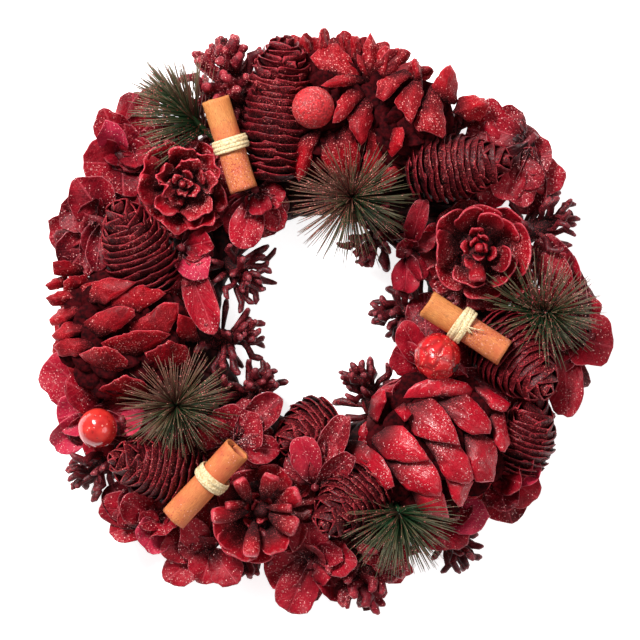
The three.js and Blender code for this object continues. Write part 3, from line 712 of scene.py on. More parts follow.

# Open pine cones that face the viewer. Cupped woody scales open round a small knob in layers, with
# deep gaps between them; painted red with painted shade deep in each cup towards its root, with
# bright thick rims that hold most of the glitter. Those of the bottom cone have shrunk to thick
# fingers.

# Each scale: where its root and its tip lie, its width, its layer from 0, the lowest, and its form
# if it isn't cupped.
OPEN_CONES = {
    "upper_left": {
        "seat": (-77, 73, 27), "nose": (-81, 77, 60), "reach": 29, "knob": (-78.7, 74.6, 53, 1.8),
        "heart_scales": 10, "ruffle": 2.6,
        "scales": [
            (-81.4, 73.7, -91.3, 69.9, 7.7, 4), (-82.5, 79.2, -94.6, 82.5, 11.6, 3),
            (-77, 79.2, -72.6, 90.2, 11.6, 3), (-72.6, 73.7, -57.8, 76.5, 12.7, 3),
            (-80.3, 71.5, -91.9, 57.8, 14.9, 2), (-79.2, 79.8, -78.1, 97.9, 16, 2),
            (-73.7, 78.1, -59.4, 89.7, 19.2, 2), (-75.9, 68.2, -64.4, 56.1, 18.2, 2),
            (-71.5, 69.3, -51.7, 66.6, 14.9, 1), (-79.2, 66, -78.7, 46.8, 23.1, 1),
            (-74.8, 66, -64.9, 48.4, 17.1, 1), (-84.7, 73.7, -106.7, 70.4, 17.1, 1),
            (-84.7, 78.1, -104, 85.2, 16, 1), (-84.7, 81.4, -94.1, 97.4, 19.2, 1),
            (-82.5, 83.6, -85.2, 101.8, 18.2, 0), (-74.8, 82.5, -67.1, 99.6, 19.2, 0),
            (-74.8, 71.5, -54.5, 60, 16, 0), (-82.5, 69.3, -96.3, 55.6, 16, 0),
        ],
    },
    "right": {
        "seat": (84, 35, 27), "nose": (86, 36, 58), "reach": 33, "knob": (84, 39.6, 57, 2.6),
        "heart_scales": 8, "ruffle": 1.0,
        "scales": [
            (82, 35.2, 83.1, 21.5, 9.4, 4, "finger"), (86.9, 35.2, 104, 31.9, 14.9, 3),
            (83.6, 45.1, 74.8, 62.7, 17.1, 3), (88, 44, 91.9, 61.1, 14.9, 3),
            (92.4, 40.7, 103.4, 54.5, 18.2, 2), (93.5, 38.5, 115.5, 38.5, 29.7, 2),
            (90.2, 31.9, 103.4, 20.9, 20.4, 2), (81.4, 30.8, 75.4, 16.5, 19.2, 2),
            (78.1, 39.6, 57.8, 39.1, 20.9, 2, "bulge"), (95.7, 28.6, 112.2, 15.4, 20.4, 1),
            (85.8, 27.5, 86.9, 8.8, 20.9, 1), (77, 31.9, 62.2, 19.2, 19.8, 1),
            (78.1, 44, 62.2, 57.8, 20.9, 1), (84.7, 46.2, 87.5, 64.9, 23.1, 1),
            (94.6, 45.1, 107.3, 60, 22, 1),
        ],
    },
    "bottom": {
        "seat": (-35, -103, 27), "nose": (-35, -107, 60), "reach": 31,
        "knob": (-36.3, -105.6, 44, 2.2), "heart_scales": 8, "ruffle": 1.2,
        "scales": [
            (-41.2, -101.8, -47.9, -86.9, 8.2, 4, "finger"),
            (-35.2, -100.1, -29.2, -84.7, 9.9, 4, "finger"),
            (-31.9, -102.3, -14.3, -95.7, 11.6, 3, "finger"),
            (-34.1, -103.4, -19.2, -102.9, 5, 4, "finger"),
            (-33, -106.7, -16, -113.9, 11.6, 4, "finger"),
            (-39.6, -110, -41.2, -129.2, 9.4, 4, "finger"),
            (-41.8, -105.6, -62.7, -107.3, 9.4, 4, "finger"),
            (-42.9, -101.2, -54.5, -101.8, 5.5, 3, "finger"),
            (-34.1, -110, -23.7, -129.8, 16.5, 2), (-40.7, -111.1, -52.8, -132, 25.3, 1),
            (-37.4, -112.2, -37.4, -135.9, 17.6, 0), (-35.2, -99, -24.2, -79.8, 20.9, 1),
            (-31.9, -99, -9.4, -86.4, 17.6, 0), (-41.8, -108.9, -62.7, -121.6, 19.8, 1),
            (-44, -99, -60.5, -94.1, 17.6, 0), (-31.9, -111.1, -12.1, -124.3, 19.8, 0),
            (-40.7, -99, -44.6, -82, 19.8, 0),
        ],
    },
}
LAYER_ROOTS = (22, 25, 30, 36, 41)
LAYER_TIPS = (30, 39, 47, 54, 58)
OUTER_SCALES = 22

rose_scale = painted_scale("open_cone_scale", colour(72, 0, 8), colour(172, 6, 26),
                           colour(228, 80, 96), colour(255, 186, 180), 1.0, rim_from=0.88,
                           rough=0.32, root_shade_to=0.6, gloss=0.3)
for name, cone in OPEN_CONES.items():
    rose = bmesh.new()
    seat = Vector(cone["seat"])
    nose = Vector(cone["nose"])
    # The heart is marked as root all through, so it is painted dark as shade between the scales.
    heart = [seat.lerp(nose, i / 8) for i in range(6)]
    tube(rose, heart, [15, 9, 6, 4.5, 3, 1.5], sides=12, marks=(0.0, -0.9, 0.0))
    for i in range(OUTER_SCALES):
        way = spoke(i * GOLDEN_ANGLE)
        low = -8 if i % 2 else -1
        root = seat + way * 5 + UP * low
        tip = seat + way * cone["reach"] * dice.uniform(0.88, 1.0)
        tip.z += low + dice.uniform(-2, 3)
        blade(rose, root, tip, UP, 17, 2.2, 0.4 * dice.random(), outline=2.7, shoulder=0.76, cup=3,
              curl=-0.08, neck=0.5, wave=1.6, ragged=0.16, around=18, rings=6)
    *knob, size = cone["knob"]
    knob = Vector(knob)
    for i in range(cone["heart_scales"]):
        way = spoke(i * GOLDEN_ANGLE + dice.uniform(-0.3, 0.3))
        out = 3.5 + 1.1 * i
        root = knob + way * 0.5 * out - UP * (12 + 0.5 * i)
        tip = knob + way * out * dice.uniform(0.9, 1.1) + UP * (dice.uniform(-1, 1) - 2 - 0.25 * i)
        blade(rose, root, tip, way, 6 + 0.5 * i, 2.0, 0.3 + 0.6 * dice.random(), outline=2.6,
              shoulder=0.75, cup=-1.2, curl=-0.1, neck=0.4, wave=1.0, ragged=0.2)
    for root_x, root_y, tip_x, tip_y, width, layer, *form in cone["scales"]:
        root = Vector((root_x, root_y, LAYER_ROOTS[layer]))
        tip = Vector((tip_x, tip_y, LAYER_TIPS[layer] + dice.uniform(-1.5, 1.5)))
        if "finger" in form:
            blade(rose, root, tip, UP, width, 6.5, 0.6 + 0.4 * dice.random(), outline=3.2,
                  shoulder=0.72, cup=-1.4, curl=-0.03, neck=0.3, around=20, rings=10)
        else:
            blade(rose, root, tip, UP, width, 2.6, dice.random(), outline=2.7, shoulder=0.74,
                  cup=width * (-0.1 if "bulge" in form else 0.16), curl=-0.16, neck=0.55,
                  wave=cone["ruffle"], ragged=0.08 * cone["ruffle"], around=28, rings=10)
    blade(rose, knob - UP * 9, knob, Vector((0, 1, 0)), 2 * size, 2 * size, 1.0)
    if off_the_ring(cone["seat"]):
        stem(rose, hold_of(cone["seat"]), seat, 3.0)
    piece(rose, "open_cone_" + name, rose_scale, "open_cone", "rose_cone_" + name)

# Small dark cones at the rim and the inner edge. Their scales are knobbly fingers, blunt at the
# end, like those of an alder or larch cone; painted near black-red and wired to the ring.

FINGER_CONES = {
    "rim_upper_left": ((-57, 158, 30), 28),
    "rim_top_right": ((81, 121, 27), 18),
    "rim_right": ((138, 60, 32), 27),
    "rim_lower_left": ((-141, -92, 27), 24),
    "rim_bottom_left": ((-47, -143, 20), 20),
    "rim_bottom": ((23, -163, 30), 31),
    "rim_lower_right": ((79, -138, 19), 24),
    "inner_left": ((-41, 23, 30), 22),
    "inner_left_low": ((-42, -8, 30), 21),
    "inner_lower_left": ((-33, -32, 32), 19),
    "inner_top_right": ((24, 38, 30), 22),
    "inner_right": ((28, 3, 27), 21),
    "inner_lower_right": ((16, -27, 28), 21),
}
# The two big ones, with bold fingers, and how far their feet are shifted.
BOLD_CONES = {"rim_upper_left": Vector((-15, 5, 2)), "rim_bottom": Vector()}

finger_paint = painted_scale("dark_knobbly_scale", colour(38, 4, 8), colour(92, 20, 28),
                             colour(132, 50, 58), colour(230, 130, 124), 0.12, rough=0.45,
                             gloss=0.3)
pink_finger_paint = painted_scale("red_knobbly_scale", colour(46, 4, 10), colour(122, 16, 32),
                                  colour(162, 44, 56), colour(255, 190, 184), 0.9, rim_from=0.84,
                                  rough=0.48, root_shade_to=0.7)
# Where the rings of a finger lie along it, and how thick it is there.
FINGER_FORM = ((0.0, 0.8), (0.25, 0.62), (0.5, 0.78), (0.74, 1.0), (0.92, 0.86), (1.0, 0.4))


def finger(mesh, root, along, girth, tone):
    """A crooked woody finger, thickest near its blunt end."""
    across = along.orthogonal().normalized()
    other = along.normalized().cross(across)
    crook = spoke(dice.uniform(0, 2 * math.pi), across, other) * 0.11 * along.length
    path = []
    girths = []
    for share, wide in FINGER_FORM:
        path.append(root + along * share + crook * math.sin(2.2 * math.pi * share ** 1.4))
        girths.append(girth * wide * dice.uniform(0.88, 1.14))
    made = tube(mesh, path, girths, sides=7)
    # Marks run from root to tip, so each finger is painted darker towards its root as painted
    # shade.
    keep = mesh.verts.layers.float_vector["blade"]
    for v in made:
        share = min(1.0, max(0.0, (v.co - root).dot(along) / along.length_squared))
        v[keep] = (0.0, 2 * share - 1, tone)


for name, (nose, radius) in FINGER_CONES.items():
    cone = bmesh.new()
    bold = name in BOLD_CONES
    seat = hold_of(nose) + BOLD_CONES.get(name, Vector())
    axis, length, side, over = ahead_of(seat, nose)
    stalk = max(0.0, 1 - 2 * radius / length)
    shares = [0, stalk + 0.02, stalk + 0.2 * (1 - stalk), stalk + 0.6 * (1 - stalk), 0.97]
    girths = [3, 4.5, radius * 0.3, radius * 0.2, 1.5]
    if bold:
        girths = [6, 10, radius * 0.36, radius * 0.2, 2]
    core = [seat + axis * (length * share) for share in shares]
    # The core is marked near the root, so it is painted dark as shade among the fingers.
    tube(cone, core, girths, marks=(0.0, -0.7, 0.2))
    count = 60 if bold else 32
    for i in range(count):
        share = i / (count - 1)
        radial = spoke(i * GOLDEN_ANGLE + dice.uniform(-0.3, 0.3), side, over)
        lean = math.radians(106 - (80 if bold else 92) * share + dice.uniform(-16, 16))
        foot = 0.02 if bold else 0.06
        root = seat + axis * (length * (stalk + (1 - stalk) * (foot + 0.66 * share)))
        reach = radius * (0.84 + 0.24 * math.sin(math.pi * 1.3 * share)) * dice.uniform(0.82, 1.14)
        girth = dice.uniform(2.6, 3.5) if bold else dice.uniform(1.8, 2.5)
        finger(cone, root, spoke(lean, axis, radial) * reach, girth, dice.random())
    paint = pink_finger_paint if bold else finger_paint
    piece(cone, "knobbly_cone_" + name, paint, "dark_cone", "finger_cone_" + name, lowest=1.0)

# Dried petals. Round leathery petals, dyed red, are glued in sprays of three to thirteen on wired
# feet; each has a pale cut edge, a faint midrib and a little glitter.

# Each spray: where its wired foot ends, and each petal's tip, its width and, if set, its tone.
SPRAYS = {
    "upper_left": ((-108, 85, 21), [
        (-123, 116, 34, 21), (-107, 127, 28, 20), (-134, 87, 38, 28), (-98, 106, 32, 20),
        (-112, 68, 36, 26), (-95, 128, 32, 15), (-119, 106, 46, 17, 1.0), (-92, 112, 34, 22, 0.0),
        (-84, 104, 36, 22, 0.0), (-98, 66, 30, 24, 0.0), (-93, 92, 30, 24, 0.0),
        (-70, 101, 32, 20, 0.0),
    ]),
    "left_high": ((-118, 52, 30), [
        (-111, 73, 28, 24, 0.0), (-136, 76, 46, 27), (-154, 45, 28, 25), (-144, 27, 30, 26),
        (-126, 28, 46, 14),
        (-147, 61, 36, 22), (-136, 60, 42, 22), (-120, 34, 32, 20, 0.1), (-128, 24, 30, 16, 0.1),
    ]),
    "left_low": ((-122, -48, 24), [
        (-155, -22, 29, 31, 0.9), (-149, -55, 30, 24), (-151, -72, 26, 19), (-126, -78, 30, 18),
        (-101, -55, 38, 24), (-88, -58, 34, 24, 0.0), (-78, -50, 32, 22, 0.0),
        (-112, -64, 34, 18, 0.1), (-82, -66, 34, 20, 0.1),
    ]),
    "lower_left": ((-87, -108, 22), [
        (-126, -104, 28, 20), (-119, -118, 28, 17), (-101, -127, 32, 22), (-88, -119, 42, 20),
        (-113, -98, 42, 19), (-64, -106, 34, 24), (-64, -78, 32, 20, 0.1), (-66, -98, 28, 22, 0.1),
        (-58, -111, 26, 22, 0.1), (-108, -92, 30, 20, 0.1), (-72, -96, 30, 20),
        (-119, -91, 26, 22, 0.0),
    ]),
    "bottom_left": ((-62, -122, 21), [
        (-91, -127, 32, 20), (-89, -145, 24, 20), (-69, -146, 28, 22), (-50, -145, 34, 20),
        (-76, -115, 46, 18), (-60, -99, 24, 24, 0.0),
    ]),
    "bottom": ((-8, -128, 28), [
        (-20, -162, 34, 25), (17, -132, 52, 20), (11, -155, 24, 18), (-34, -141, 28, 24),
        (-10, -112, 36, 22), (4, -140, 36, 18),
    ]),
    "bottom_right": ((29, -121, 26), [
        (18, -147, 18, 18), (31, -144, 16, 22), (44, -146, 16, 18), (46, -128, 32, 24),
        (28, -136, 38, 20), (3, -117, 28, 26, 0.1), (37, -105, 26, 22, 0.0),
    ]),
    "lower_right": ((63, -102, 24), [
        (66, -127, 41, 30), (88, -111, 36, 22, 1.0), (51, -124, 32, 18),
    ]),
    "right_low": ((92, -82, 22), [
        (104, -111, 30, 26), (116, -98, 34, 24), (117, -82, 38, 20, 0.95), (99, -106, 40, 20),
        (108, -90, 44, 18), (112, -76, 44, 15), (105, -40, 26, 26, 0.0),
    ]),
    "right": ((130, -8, 28), [
        (157, -14, 38, 32, 0.84), (133, -54, 40, 20), (133, 37, 30, 18), (147, 14, 28, 20),
        (122, 36, 42, 20), (116, 16, 44, 20), (107, -46, 32, 17, 0.1), (104, 14, 34, 22, 0.1),
        (112, 2, 34, 24, 0.1), (118, -26, 32, 20, 0.1), (119, 47, 30, 22, 0.0),
    ]),
    "upper_right": ((100, 88, 34), [
        (101, 109, 36, 22), (116, 107, 28, 20), (125, 90, 38, 22), (131, 74, 34, 20),
        (109, 63, 44, 18), (86, 121, 34, 16), (97, 66, 42, 20), (86, 62, 38, 18),
        (84, 104, 36, 18, 0.1), (77, 108, 30, 26, 0.0), (94, 112, 28, 22, 0.0),
        (111, 57, 30, 22, 0.0), (80, 66, 30, 20, 0.1),
    ]),
    "inner_upper_right": ((46, 38, 30), [
        (52, 64, 48, 12), (42, 44, 40, 15), (44, 16, 40, 17),
    ]),
    "inner_right": ((57, -29, 32), [
        (37, -17, 40, 20), (42, -2, 46, 16), (25, -52, 36, 17), (38, -48, 44, 17),
        (76, -40, 48, 20), (106, -42, 34, 20, 0.1), (54, 17, 28, 22, 0.0), (50, 4, 26, 22, 0.0),
    ]),
    "inner_bottom": ((-6, -92, 42), [
        (10, -53, 52, 16), (2, -56, 48, 17), (-14, -64, 54, 17), (14, -74, 60, 14),
    ]),
    "inner_lower_left": ((-52, -68, 33), [
        (-44, -52, 48, 34), (-68, -59, 44, 20), (-72, -70, 30, 24, 0.0), (-90, -58, 32, 24, 0.0),
        (-25, -42, 42, 18), (-26, -72, 46, 17),
    ]),
    "inner_left": ((-80, 40, 30), [
        (-69, 26, 46, 20, 1.0), (-62, 44, 42, 14), (-81, 18, 40, 17), (-62, -7, 38, 18),
    ]),
    "inner_upper_left": ((-39, 72, 34), [
        (-48, 38, 42, 19), (-25, 50, 36, 16), (-23, 66, 38, 15), (-35, 57, 48, 13),
        (-34, 46, 32, 20, 0.1), (-46, 50, 30, 20, 0.1),
    ]),
}
USUAL_TONE = 0.55
# The sprays that are darker or brighter, and where a stem starts that doesn't go by the rule.
SPRAY_TONES = {
    "upper_left": 0.3, "left_high": 0.4, "left_low": 0.8, "lower_left": 0.75, "bottom_left": 0.8,
    "lower_right": 0.4, "right_low": 0.4,
}
SPRAY_STARTS = {"lower_left": (-40, -86, 15), "bottom_left": (-46, -84, 14)}
PETAL_PITCH = 1.8
OPENING_RADIUS = 52
RIM_RADIUS = 160
LOWEST_TIP = 15.0


def petal_dye(name, deep, face):
    """Dyed petal with painted shade at the foot, a midrib, side veins, a pale cut edge and
    glitter.
    """
    paint = Finish(name)
    x, y, tone = paint.attribute("blade")
    flat = (x * x + y * y) ** 0.5
    cut = flat.step(0.95, 0.99)
    wide = paint.node("Math", {"operation": "ABSOLUTE"}, (x,))
    rib = 1 - wide.step(0.02, 0.06)
    branch = paint.node("Math", {"operation": "SINE"}, ((y - wide * 0.9) * 22.0,)).step(0.86, 1.0)
    cloud = paint.noise(70.0, 4.0).step(0.3, 0.7)
    mottle = paint.noise(360.0, 4.0).step(0.3, 0.7)
    grain = paint.noise(1500.0, 2.0)
    base = paint.mix(cloud * 0.3 + tone * 0.6 + mottle * 0.2 - 0.1, deep, face)
    base = paint.mix(tone.step(0.85, 1.0) * 0.5, base, colour(200, 50, 86))
    # Fine pale glitter with painted glints, thicker in patches as a painted sheen.
    fine_glitter_and_glint = paint.noise(1700.0, 1.0).step(0.54, 0.68)
    base = paint.mix(fine_glitter_and_glint * (0.1 + 0.25 * cloud), base, colour(224, 74, 84))
    base = paint.mix(rib * 0.3 + branch * 0.12, base, colour(210, 84, 96))
    # Painted shade over the lower half of each petal, towards its foot where the petals crowd.
    base = paint.mix(y.step(-1.0, -0.1), painted_shade(deep), base)
    base = paint.mix(cut * (0.2 + 0.6 * cloud), base, colour(224, 124, 132))
    speck, gleam = glitter(paint, 0.0008, 0.4)
    dot = paint.mix(gleam, colour(204, 50, 58), colour(255, 196, 192))
    base = paint.mix(speck * (0.35 + 0.65 * gleam), base, dot)
    shine = 0.44 + 0.2 * (grain - 0.5) - 0.25 * speck
    paint.set(Base_Color=base, Roughness=shine, Specular_IOR_Level=0.2)
    paint.bump(grain * 0.4 + mottle * 0.5 + rib * 0.6 + branch * 0.4 + speck * 0.5, 0.5, 0.0008)
    return paint


def facing(root, tip, roll):
    """The way a petal faces, rolled about its length by an angle in degrees."""
    along = (tip - root).normalized()
    side = along.cross(UP).normalized()
    side.rotate(Matrix.Rotation(math.radians(roll), 3, along))
    return side.cross(along)


petal_red = petal_dye("dyed_petal", colour(62, 0, 10), colour(182, 10, 36))
for name, (foot, petals) in SPRAYS.items():
    spray = bmesh.new()
    start = Vector(SPRAY_STARTS.get(name, hold_of(foot)))
    foot = Vector(foot)
    up = (foot - start).normalized()
    stem(spray, start, foot + up * PETAL_PITCH * len(petals), 2.4)
    for i, (x, y, z, width, *shade) in enumerate(petals):
        root = foot + up * (PETAL_PITCH * i)
        tip = Vector((x, y, z))
        tone = shade[0] if shade else SPRAY_TONES.get(name, USUAL_TONE) + dice.uniform(-0.35, 0.35)
        blade(spray, root, tip, facing(root, tip, (i * 61) % 24 - 12), width, 0.9, tone,
              outline=2.2, shoulder=0.62, cup=width * dice.uniform(0.04, 0.22),
              curl=dice.uniform(-0.06, 0.18), neck=0.7, wave=2.3, ragged=0.14, around=24, rings=10)
        # Two smaller, darker petals hang below each.
        for _ in range(2):
            swing = Matrix.Rotation(math.radians(dice.uniform(-50, 50)), 3, up)
            low = root + swing @ (tip - root) * dice.uniform(0.62, 0.92)
            low.z = max(LOWEST_TIP, low.z + dice.uniform(-9, -3))
            if OPENING_RADIUS < math.hypot(low.x, low.y) < RIM_RADIUS:
                face = facing(root, low, dice.uniform(-35, 35))
                blade(spray, root, low, face, width * dice.uniform(0.7, 0.95), 0.9,
                      0.4 * dice.random(), outline=2.2, shoulder=0.62, cup=width * 0.12, curl=0.12,
                      neck=0.7, wave=1.6, ragged=0.14, around=14, rings=6)
    piece(spray, "dried_petals_" + name, petal_red, "petal", "petals_" + name, lowest=0.8)

# Berries. Round foam berries on wire: one coated with sugar glitter, one lacquered and glossy,
# and one wrapped in wrinkled red foil with a dark calyx.

# Each berry: its middle, its radius, and how close and how high the small lumps on it are.
BERRIES = {
    "top": ((-7, 116, 59), 11.6, 9.0, 0.3),
    "left": ((-125.5, -59.5, 45), 11, 1.8, 0.25),
    "right": ((61, -20, 57), 12.8, 1.8, 0.25),
}
CALYX = Vector((0.78, -0.5, 0.38)).normalized()

sugar = Finish("sugared_berry")
speck, gleam = glitter(sugar, 0.0008, 0.9, patch=0.02)
crust = sugar.noise(700.0, 4.0)
base = sugar.mix(crust.step(0.3, 0.7), colour(146, 8, 20), colour(214, 40, 46))
base = sugar.mix(speck * (0.1 + 0.7 * gleam), base, colour(255, 176, 170))
sugar.set(Base_Color=base, Roughness=0.6)
sugar.bump(crust + speck * 0.5, 0.8, 0.001)
lacquer = Finish("glossy_berry")
speck, gleam = glitter(lacquer, 0.0012, 0.16)
# Small dents in the lacquer, painted darker as shade in them.
pits_and_pit_shade = lacquer.noise(260.0, 2.0).step(0.62, 0.74)
base = lacquer.mix(lacquer.noise(70.0).step(0.35, 0.65), colour(176, 22, 26), colour(228, 60, 50))
base = lacquer.mix(pits_and_pit_shade * 0.6, base, colour(120, 12, 14))
base = lacquer.mix(speck * 0.5, base, colour(255, 180, 160))
lacquer.set(Base_Color=base, Roughness=0.18, Coat_Weight=0.7, Coat_Roughness=0.05)
lacquer.bump(1 - pits_and_pit_shade, 0.4, 0.0006)
foil = Finish("foil_berry")
speck, gleam = glitter(foil, 0.0009, 0.12)
cracks = {"Vector": foil.place(), "Scale": 120.0}
crease = foil.node("TexVoronoi", {"feature": "DISTANCE_TO_EDGE"}, cracks, "Distance")
# Darker along the creases of the foil: painted shade in the creases, with mottling.
folds_and_crease_shade = crease.step(0.0, 0.22) * 0.6 + foil.noise(260.0, 4.0) * 0.7
leafy = foil.attribute("blade")[2]
base = foil.mix(folds_and_crease_shade, colour(132, 6, 14), colour(212, 34, 38))
base = foil.mix(speck * 0.6, base, colour(255, 170, 150))
base = foil.mix(leafy, base, colour(46, 14, 12))
foil.set(Base_Color=base, Roughness=0.26 + 0.3 * leafy, Coat_Weight=0.35, Coat_Roughness=0.12)
foil.bump(folds_and_crease_shade, 0.6, 0.0012)
BERRY_FINISHES = {"top": sugar, "left": lacquer, "right": foil}
for name, (middle, radius, close, high) in BERRIES.items():
    berry = bmesh.new()
    middle = Vector(middle)
    for v in add(berry, plain_ball(48, 28)):
        out = v.co.normalized()
        lump = noise.noise(out * close) * high
        if name == "right":
            lump += 0.5 * noise.noise(out * Vector((5, 5, 2.2)))
        elif name == "left" and out.z > 0:
            lump -= 0.9 * math.exp(-((out.x + 0.36) ** 2 + (out.y - 0.1) ** 2) / 0.02)
        v.co = middle + out * (radius + lump)
    if name == "right":
        side = CALYX.orthogonal().normalized()
        foot = middle + CALYX * (radius - 0.3)
        for i in range(6):
            way = spoke(math.radians(60 * i), side, CALYX.cross(side)) + CALYX * 0.12
            tip = foot + way.normalized() * 3.4
            blade(berry, foot, tip, CALYX, 2.0, 0.6, 1.0, outline=1.7, shoulder=0.4, curl=0.12)
    piece(berry, "round_berry_" + name, BERRY_FINISHES[name], "berry", "berry_" + name)

# Cinnamon quills. Thin bark rolled into a scroll as it dried, cut to finger length, rust brown
# with fine streaks along it. Each is bound in the middle with raffia.

# Each quill: its ends, and where along it the tie is.
QUILLS = {
    "upper_left": ((-60, 121, 54), (-44.5, 71.5, 52), 0.5),
    "right": ((55.5, 9.5, 61), (97.5, -17.5, 61), 0.45),
    "lower_left": ((-48, -71, 61), (-83, -109, 48.5), 0.41),
}
# How much glitter each has, and up to where along it there is less.
QUILL_GLITTER = {"upper_left": (1.6, 14.0), "right": (1.3, 20.0), "lower_left": (0.08, 0.0)}
QUILL_RADIUS = 8.5
QUILL_WALL = 1.3
QUILL_GAP = 0.5
QUILL_TURNS = 1.2
# Where round the quill its outer edge lies, in radians from its lowest line.
QUILL_EDGE = -0.7
QUILL_STEPS = 40
QUILL_LENGTHS = 26


def cinnamon_bark(name, share, sparse_to):
    """Bark with streaks along it, with painted shade deep in the roll, and glitter glued on beyond
    a point.
    """
    bark = Finish(name)
    around, along, bore_shade_depth = bark.attribute("bark")
    streaked = bark.node("CombineXYZ", {}, {"X": around * 9.0, "Y": along * 0.16, "Z": bore_shade_depth})
    streak = bark.noise(2.4, 5.0, streaked)
    blotch = bark.noise(110.0, 3.0).step(0.35, 0.7)
    base = bark.mix(streak.step(0.3, 0.72), colour(188, 104, 50), colour(240, 162, 90))
    base = bark.mix(blotch * 0.5, base, colour(206, 112, 52))
    # Painted shade, deepening into the roll of the scroll.
    base = bark.mix(bore_shade_depth.step(0.3, 0.9) * 0.8, base, colour(74, 34, 20))
    fleck = bark.noise(620.0, 2.0).step(0.62, 0.72)
    base = bark.mix(fleck * 0.4, base, colour(136, 66, 36))
    speck, gleam = glitter(bark, 0.0009, share)
    glued = along.step(sparse_to - 4.0, sparse_to + 6.0)
    base = bark.mix(glued * (0.25 + 0.3 * blotch), base, colour(212, 84, 62))
    speck = speck * (0.12 + 0.88 * glued)
    dot = bark.mix(gleam, colour(176, 30, 26), colour(255, 190, 170))
    base = bark.mix(speck * 0.9, base, dot)
    bark.set(Base_Color=base, Roughness=0.62 - 0.3 * speck)
    bark.bump(streak * 0.8 + speck * 0.4, 0.5, 0.0006)
    return bark


for name, (start, end, _) in QUILLS.items():
    quill = bmesh.new()
    keep = quill.verts.layers.float_vector.new("bark")
    axis, length, *_ = ahead_of(start, end)
    low = (axis * axis.z - UP).normalized()
    across = low.cross(axis)
    # One round of the scroll: out along its outer face, and back along its inner face.
    scroll = []
    steps = range(QUILL_STEPS + 1)
    for face, wall in ((steps, 0.0), (reversed(steps), QUILL_WALL)):
        for i in face:
            turns = i / QUILL_STEPS * QUILL_TURNS
            radius = QUILL_RADIUS - turns ** 1.5 * (QUILL_WALL + QUILL_GAP) - wall
            spot = spoke(turns * 2 * math.pi + QUILL_EDGE, low, across) * radius
            scroll.append(quill.verts.new(spot))
    first = edges = [quill.edges.new((scroll[i - 1], v)) for i, v in enumerate(scroll)]
    for _ in range(QUILL_LENGTHS):
        edges = draw_out(quill, edges, axis * (length / QUILL_LENGTHS))
    bmesh.ops.edgeloop_fill(quill, edges=first)
    bmesh.ops.edgeloop_fill(quill, edges=edges)
    for v in quill.verts:
        along = v.co.dot(axis)
        flat = v.co - axis * along
        angle = math.atan2(flat.dot(across), flat.dot(low))
        size = flat.length
        grown = size + 0.35 * noise.noise(spoke(angle) * 1.6 + UP * (along * 0.045))
        cut = 0.9 * noise.noise(spoke(angle) * 1.2 + UP * 9)
        end_share = abs(along / length - 0.5) * 2
        # How deep into the roll a point lies, which the finish paints as shade; the cut ends get a
        # trace.
        bore_shade = max(0.0, (QUILL_RADIUS - size - 0.4) / 4) if end_share < 0.99 else 0.35
        v[keep] = (angle * QUILL_RADIUS / 3, along, bore_shade)
        along += cut * (end_share > 0.97)
        v.co = Vector(start) + axis * along + flat * (grown / max(size, 0.1))
    bark = cinnamon_bark("cinnamon_bark_" + name, *QUILL_GLITTER[name])
    piece(quill, "bark_scroll_" + name, bark, "cinnamon", "cinnamon_" + name)

# Raffia ties. Split palm fibre, pale straw, wound a few times round each quill and knotted; the
# right one has frayed ends.

TIE_WIDTH = 7.5
STRAND_RADIUS = 1.05
STRAND_POINTS = 32

raffia = Finish("raffia_fibre")
fibre = raffia.noise(900.0, 4.0)
straw = raffia.mix(fibre.step(0.3, 0.7), colour(206, 172, 120), colour(250, 230, 186))
raffia.set(Base_Color=straw, Roughness=0.75)
raffia.bump(fibre, 0.6, 0.0005)
for name, (start, end, tie_at) in QUILLS.items():
    tie = bmesh.new()
    axis, length, side, over = ahead_of(start, end)
    middle = Vector(start).lerp(Vector(end), tie_at)
    strands = 7 if name == "right" else 5
    for strand in range(strands):
        path = []
        shift = (strand / (strands - 1) - 0.5) * (TIE_WIDTH - 2 * STRAND_RADIUS)
        lean = dice.uniform(-1.4, 1.4) if name == "right" else dice.uniform(-0.5, 0.5)
        girth = QUILL_RADIUS + 0.85 + 0.35 * (strand % 2)
        for i in range(STRAND_POINTS):
            angle = 2 * math.pi * i / STRAND_POINTS
            out = girth + 0.12 * math.sin(5 * angle + strand)
            slip = shift + lean * math.sin(angle + strand)
            path.append(middle + spoke(angle, side, over) * out + axis * slip)
        for v in tube(tie, path, [STRAND_RADIUS] * STRAND_POINTS, closed=True):
            along = axis * (v.co - middle).dot(axis)
            out = v.co - middle - along
            v.co = middle + along + out.normalized() * (girth + 0.5 * (out.length - girth))
    top = (UP - axis * axis.z).normalized()
    across = axis.cross(top)
    knot = middle + top * (QUILL_RADIUS + 1.6)
    if name == "right":
        for strand in range(7):
            way = across * dice.uniform(-0.3, 0.5) + axis * dice.uniform(0.6, 1.0)
            way += top * dice.uniform(-0.05, 0.1)
            reach = dice.uniform(5, 11)
            bend = Vector((dice.uniform(-2, 2), dice.uniform(-2, 2), -1.0))
            path = [knot + way * (reach * i / 6) + bend * (i / 6) ** 2 for i in range(7)]
            tube(tie, path, [0.5, 0.5, 0.45, 0.4, 0.35, 0.3, 0.2], sides=5)
    piece(tie, "raffia_wrap_" + name, raffia, "raffia", "raffia_tie_" + name)

# Pine picks. Bound wire stems with stiff needles all round the end, dark green and brown, with
# red glitter caught on them.

# Each pick: its nose, the reach of its needles, its foot if not by the rule, its green side, how
# brown it is, and the way its needles lean.
PICKS = {
    "upper_left": ((-80, 118, 50), 38, (-44, 82, 15), (-0.6, -1.0), 0.3, (-0.5, 0.3)),
    "top": ((14, 67, 55), 39, None, (0.8, -0.6), 0.48, (0.0, 0.0)),
    "right": ((124, 4, 52), 37, None, (-0.3, -1.0), 0.26, (0.0, 0.0)),
    "left": ((-82, -47, 58), 35, None, (0.6, -0.8), 0.46, (0.0, 0.0)),
    "bottom": ((41, -108, 54), 42, None, (0.2, -1.0), 0.36, (0.0, -0.3)),
}
NEEDLES = 340
NEEDLE_RADII = [0.36, 0.36, 0.324, 0.27, 0.108]

